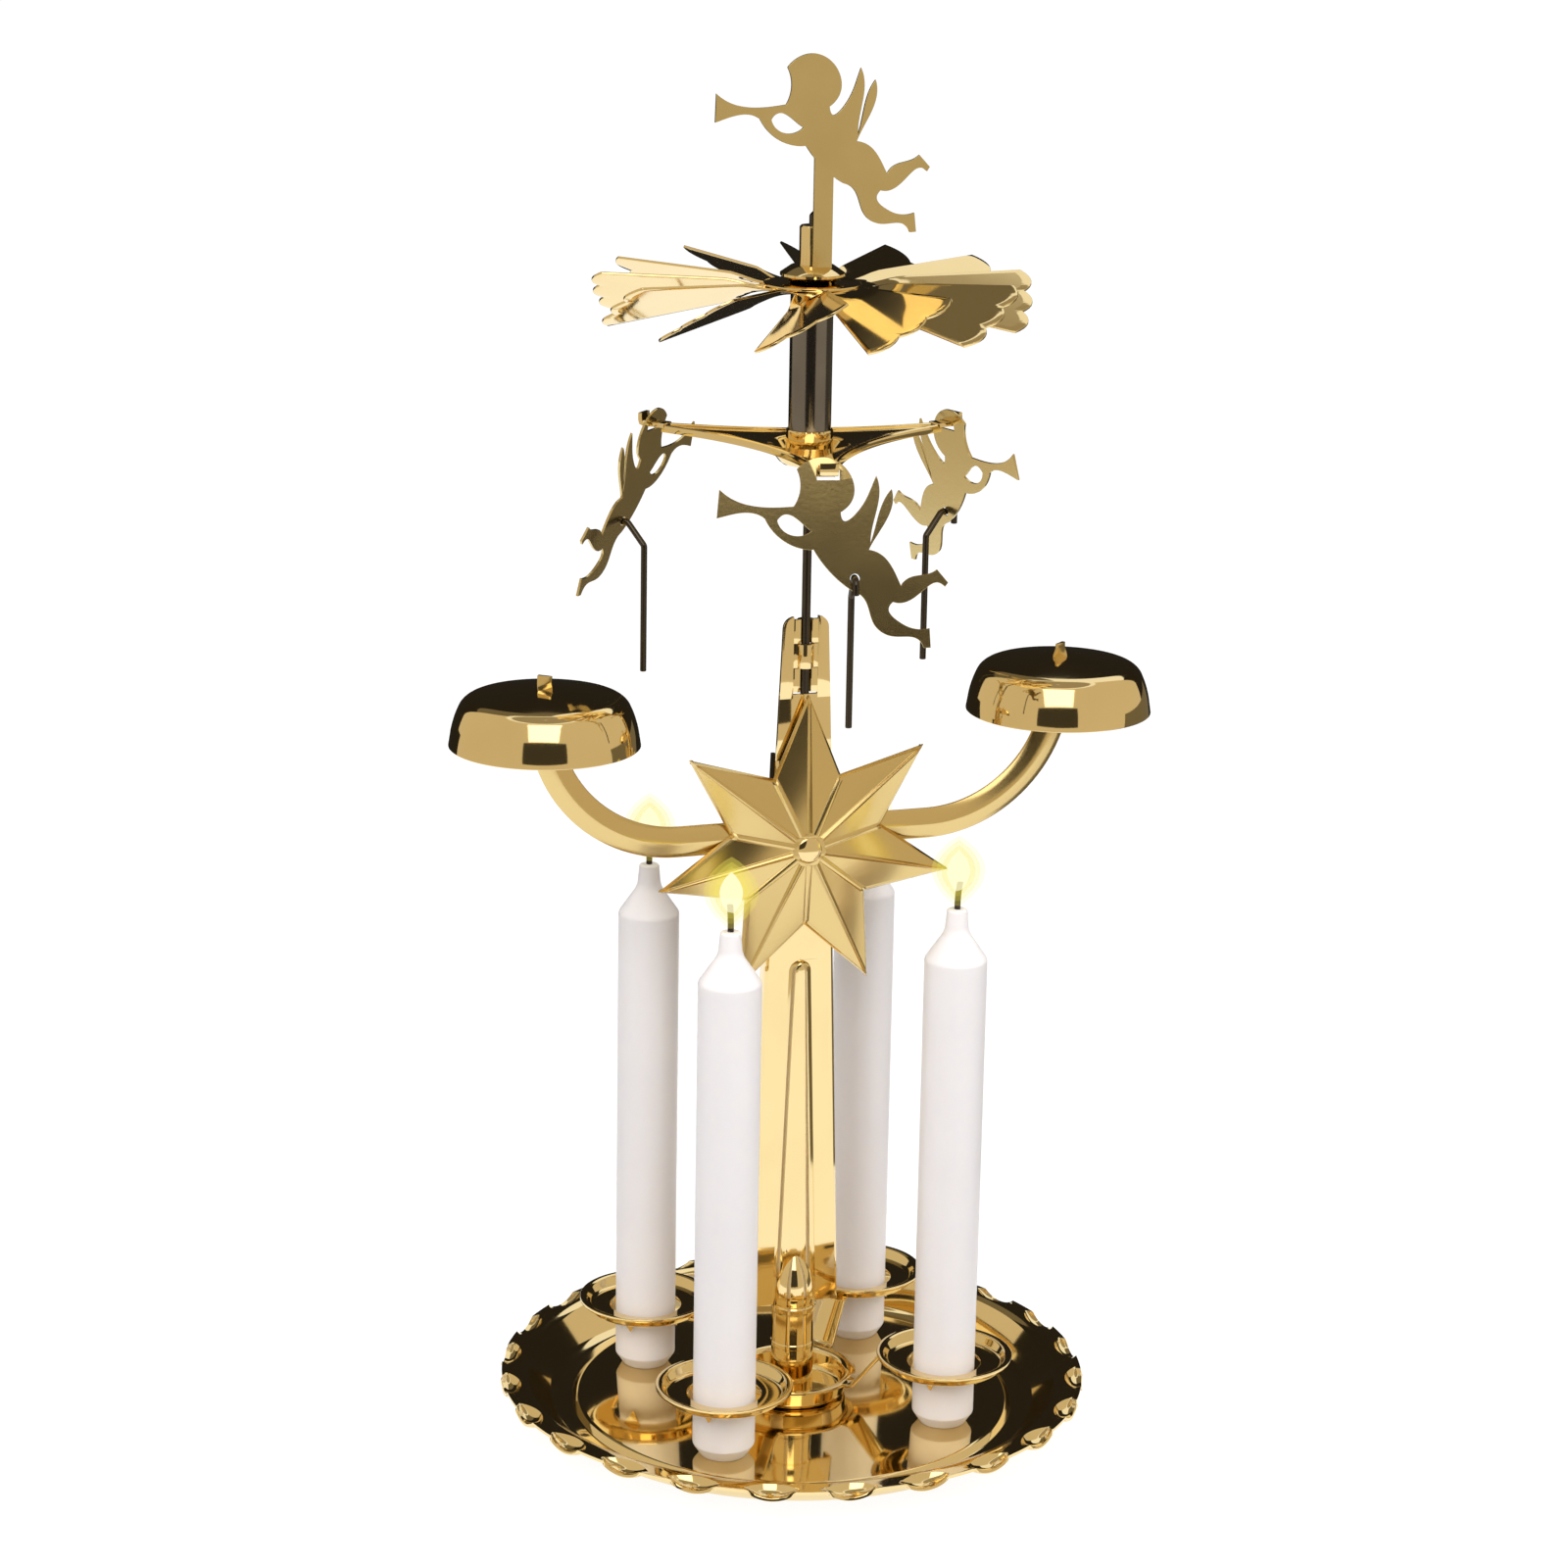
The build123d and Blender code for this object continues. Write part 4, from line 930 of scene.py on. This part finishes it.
class CHIME_OT_angels(ChimeOperator):
    """Blanks the flat angels and breaks their edges"""

    bl_idname = "chime.angels"
    bl_label = "Angels"

    def execute(self, context):
        rows = [("top_angel", "rotor")] + [(f"angel_{n}", f"angel_{n}") for n in (1, 2, 3)]
        for node, body in rows:
            shell = bmesh.new()
            shell.from_mesh(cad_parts[node].data)
            bmesh.ops.scale(shell, vec=(1 / MM, 1 / MM, 1 / MM), verts=shell.verts[:])
            bmesh.ops.dissolve_limit(welded(shell, 1e-3), angle_limit=math.radians(1),
                                     verts=shell.verts[:], edges=shell.edges[:])
            make_piece(f"{node}_blanked", shell, "stamped_brass", body, [node],
                       edge=0.5 * self.sizes.cut_edge)
        return {"FINISHED"}


class CHIME_OT_strikers(ChimeOperator):
    """Bends the striker wires"""

    bl_idname = "chime.strikers"
    bl_label = "Strikers"

    def execute(self, context):
        steps = ((1.8, 90), (1.93, 50.44), (5.14, 39.56), (25.64, 0))
        for number, angle in enumerate(ANGEL_ANGLES, 1):
            place = about_z(angle) @ Matrix.Translation((BELLY_RADIUS, BELLY_BEHIND, BELLY_HEIGHT))
            shell = move(bent_wire(0.65, (2.2, 0, -2.8), steps), place)
            name = f"striker_{number}"
            make_piece(f"{name}_bent", shell, "wire", name, [name], edge=self.sizes.cut_edge, crease=50)
        return {"FINISHED"}


class CHIME_OT_candles(ChimeOperator):
    """Pours the candles and sets wicks and flames on them"""

    bl_idname = "chime.candles"
    bl_label = "Candles"

    def execute(self, context):
        height = self.sizes.flame_height / MM
        for number, angle in enumerate(CANDLE_ANGLES, 1):
            place = about_z(angle) @ Matrix.Translation((CANDLE_CIRCLE, 0, TRAY_FLOOR))
            body = f"candle_{number}"
            candle = turned([(0, 0), (4.7, 0), (6.35, 2.5), (6.35, 100.9), (2.45, 106.6),
                             (2.05, CANDLE_LENGTH), (0, CANDLE_LENGTH)], (0.3, 0.8, 1.5, 4.0, 0.5), 64)
            make_piece(f"{body}_poured", move(closed(candle), place), "wax", body, [body])
            make_piece(f"wick_{number}_burnt", move(self.wick(), place), "wick", body, [f"wick_{number}"])
            mantle = [self.drop(0.3 + n, height - 2.0 * n, 5.4 - n) for n in range(3)]
            core = self.drop(3.2, 0.6 * height, 2.3)
            make_piece(f"flame_{number}_mantle", move(joined(*mantle), place), "flame_mantle", body)
            make_piece(f"flame_{number}_core", move(core, place), "flame_core", body)
        return {"FINISHED"}

    @staticmethod
    def wick():
        """Burnt wick that leans over a little."""
        shell = bmesh.new()
        edges = disc(shell, 0.62, 12, Matrix.Translation((0, 0, CANDLE_LENGTH - 1.0)))
        for lean, rise in ((0.0, 2.4), (0.08, 1.6), (0.16, 1.4), (0.22, 1.2)):
            edges = run(shell, edges, (lean, 0, rise))
        bmesh.ops.contextual_create(shell, geom=edges)
        return closed(shell)

    @staticmethod
    def drop(foot, height, radius):
        """Flame: a drop that is widest half way up, starting this far over the wax."""
        bottom = CANDLE_LENGTH + foot
        steps = 16
        points = [(0, bottom)]
        for step in range(1, steps):
            share = step / steps
            width = radius * math.sin(math.pi * share ** 1.05) ** 0.85
            points.append((width, bottom + height * share))
        points.append((0, bottom + height))
        return closed(turned(points, steps=28))


class CHIME_OT_stage(ChimeOperator):
    """Sets the floor, the light and the camera"""

    bl_idname = "chime.stage"
    bl_label = "Stage"

    def execute(self, context):
        scene = context.scene
        scene.view_settings.view_transform = "Standard"
        self.world(scene)
        self.floor()
        self.panels()
        self.lamps(scene)
        self.camera(scene)
        return {"FINISHED"}

    @staticmethod
    def seen(tree):
        """1 for what the camera sees, directly, mirrored or through glass."""
        path = add_node(tree, "ShaderNodeLightPath")
        first = add_node(tree, "ShaderNodeMath", {"operation": "MAXIMUM"},
                         links={0: path.outputs["Is Camera Ray"], 1: path.outputs["Is Glossy Ray"]})
        return add_node(tree, "ShaderNodeMath", {"operation": "MAXIMUM"},
                        links={0: first.outputs[0], 1: path.outputs["Is Transmission Ray"]}).outputs[0]

    def world(self, scene):
        world = bpy.data.worlds.new("studio_white")
        scene.world = world
        world.use_nodes = True
        tree = world.node_tree
        tree.nodes.clear()
        level = add_node(tree, "ShaderNodeMapRange", values={"To Min": 0.8, "To Max": 1.0},
                         links={"Value": self.seen(tree)})
        sky = add_node(tree, "ShaderNodeBackground", values={"Color": (1, 1, 1, 1)},
                       links={"Strength": level.outputs["Result"]})
        add_node(tree, "ShaderNodeOutputWorld", links={"Surface": sky.outputs["Background"]})

    def floor(self):
        material, tree = blank_material("studio_paper")
        paper = add_node(tree, "ShaderNodeBsdfDiffuse", values={"Color": (0.16, 0.16, 0.16, 1)})
        glow = add_node(tree, "ShaderNodeEmission", values={"Color": (1, 1, 1, 1), "Strength": 0.9})
        both = add_node(tree, "ShaderNodeAddShader", links={0: paper.outputs[0], 1: glow.outputs[0]})
        mix = add_node(tree, "ShaderNodeMixShader", links={0: self.seen(tree), 1: paper.outputs[0],
                                                           2: both.outputs[0]})
        shell = bmesh.new()
        bmesh.ops.create_grid(shell, x_segments=1, y_segments=1, size=6.0)
        self.prop("studio_floor", shell, surfaced(material, tree, mix))

    def panels(self):
        """Cards that only the metal sees: pale in front and above, dark behind, a dim one below the lens."""
        warm, roof, olive = (0.66, 0.57, 0.42, 1), (0.36, 0.31, 0.23, 1), (0.17, 0.145, 0.10, 1)
        dim, dark = (0.05, 0.043, 0.032, 1), (0.02, 0.017, 0.013, 1)
        rows = (
            ("dark_wall_behind", self.dome((-3, 10, 22, 35), 18.5, 104), dark),
            ("olive_wall_behind_left", self.dome((35, 48, 62), 70.5, 52), olive),
            ("warm_wall_front", self.dome((-3, 20, 40, 62), 122.5, 256), warm),
            ("dark_floor_behind", self.apron(0.45, 40, 91), dark),
            ("olive_floor_right", self.apron(0.15, -20, 60), olive),
            ("warm_floor_front", self.apron(0.36, 131, 209), warm),
            ("warm_roof", self.dome((66, 75, 89), 0, 360), roof),
            ("dim_card_front", self.card(0.62, 0.3, 0.02, 0.36), dim),
        )
        for name, shell, colour in rows:
            material, tree = blank_material(name)
            glow = add_node(tree, "ShaderNodeEmission", values={"Color": colour, "Strength": 1.0})
            card = self.prop(name, shell, surfaced(material, tree, glow))
            card.visible_camera = False
            card.visible_diffuse = False
            card.visible_shadow = False

    @staticmethod
    def card(reach, half, low, high):
        """Upright card in front of the object, below the lens."""
        shell = bmesh.new()
        corners = [(-half, low), (half, low), (half, high), (-half, high)]
        verts, _ = wire(shell, [(reach, side, height) for side, height in corners], close=True)
        bmesh.ops.contextual_create(shell, geom=verts)
        return move(shell, about_z(-109.0))

    @staticmethod
    def swept(line, start, sweep):
        """A line of radius and height, swept round the object from one angle on, in degrees."""
        shell = move(bent_line([(radius, 0, height) for radius, height in line]), about_z(start))
        return spun(shell, math.radians(sweep), 24)

    def dome(self, angles, start, sweep):
        """Part of a dome, through these heights over the horizon in degrees."""
        radius, middle = 5.0, 0.15
        heights = [math.radians(a) for a in angles]
        line = [(radius * math.cos(a), middle + radius * math.sin(a)) for a in heights]
        return self.swept(line, start, sweep)

    def apron(self, inner, start, sweep):
        """Part of a flat ring just over the floor."""
        outer, level = 4.99, 0.0004
        return self.swept([(inner, level), (outer, level)], start, sweep)

    @staticmethod
    def prop(name, shell, material):
        prop = as_object(name, shell, material)
        return prop

    @staticmethod
    def lamps(scene):
        """Softboxes: place, width, power, and whether the metal mirrors them."""
        middle = Vector((0, 0, 0.13))
        rows = [("softbox_left", (-0.75, -0.55, 0.75), 0.55, 4.6, False),
                ("softbox_right", (0.8, -0.5, 0.6), 0.55, 3.9, False),
                ("softbox_front", (-0.27, -0.78, 0.80), 0.7, 2.4, True),
                ("softbox_top", (0.0, -0.1, 1.3), 0.8, 3.8, False)]
        for name, place, size, power, mirrored in rows:
            light = bpy.data.lights.new(name, "AREA")
            light.size = size
            light.energy = power
            lamp = bpy.data.objects.new(name, light)
            lamp.location = place
            lamp.rotation_euler = (middle - Vector(place)).to_track_quat("-Z", "Y").to_euler()
            lamp.visible_glossy = mirrored
            scene.collection.objects.link(lamp)

    @staticmethod
    def camera(scene):
        turn, pitch, roll = math.radians(-18.868), math.radians(15.601), math.radians(1.018)
        reach = math.cos(pitch)
        ahead = Vector((-math.sin(turn) * reach, math.cos(turn) * reach, -math.sin(pitch)))
        level = Vector((math.cos(turn), math.sin(turn), 0))
        above = level.cross(ahead)
        right = level * math.cos(roll) + above * math.sin(roll)
        up = above * math.cos(roll) - level * math.sin(roll)
        lens = bpy.data.cameras.new("photo_camera")
        lens.sensor_fit = "HORIZONTAL"
        lens.sensor_width = 36.0
        lens.lens = 91.96
        lens.clip_end = 20.0
        camera = bpy.data.objects.new("photo_camera", lens)
        camera.matrix_world = Matrix.Translation((-0.2562, -0.7379, 0.3529)) @ Matrix(
            (right, up, -ahead)).transposed().to_4x4()
        scene.collection.objects.link(camera)
        scene.camera = camera


class CHIME_PT_panel(bpy.types.Panel):
    """Lists the chime's pieces, sizes and colours"""

    bl_idname = "CHIME_PT_panel"
    bl_label = "Angel chime"
    bl_space_type = "VIEW_3D"
    bl_region_type = "UI"
    bl_category = "Chime"

    def draw(self, context):
        for group in (context.scene.chime_sizes, context.scene.chime_colours):
            for name in group.__annotations__:
                self.layout.prop(group, name)
        for operator in OPERATORS:
            self.layout.operator(operator.bl_idname)


OPERATORS = (CHIME_OT_tray, CHIME_OT_rack, CHIME_OT_column, CHIME_OT_star, CHIME_OT_bell_arms, CHIME_OT_bells,
             CHIME_OT_pivot, CHIME_OT_turbine, CHIME_OT_carrier, CHIME_OT_angels, CHIME_OT_strikers,
             CHIME_OT_candles, CHIME_OT_stage)
CLASSES = (ChimeSizes, ChimeColours, *OPERATORS, CHIME_PT_panel)


def register():
    for item in CLASSES:
        bpy.utils.register_class(item)
    bpy.types.Scene.chime_sizes = PointerProperty(type=ChimeSizes)
    bpy.types.Scene.chime_colours = PointerProperty(type=ChimeColours)


def unregister():
    del bpy.types.Scene.chime_colours
    del bpy.types.Scene.chime_sizes
    for item in reversed(CLASSES):
        bpy.utils.unregister_class(item)


def main():
    register()
    for operator in OPERATORS:
        group, name = operator.bl_idname.split(".")
        getattr(getattr(bpy.ops, group), name)()


if __name__ == "__main__":
    main()
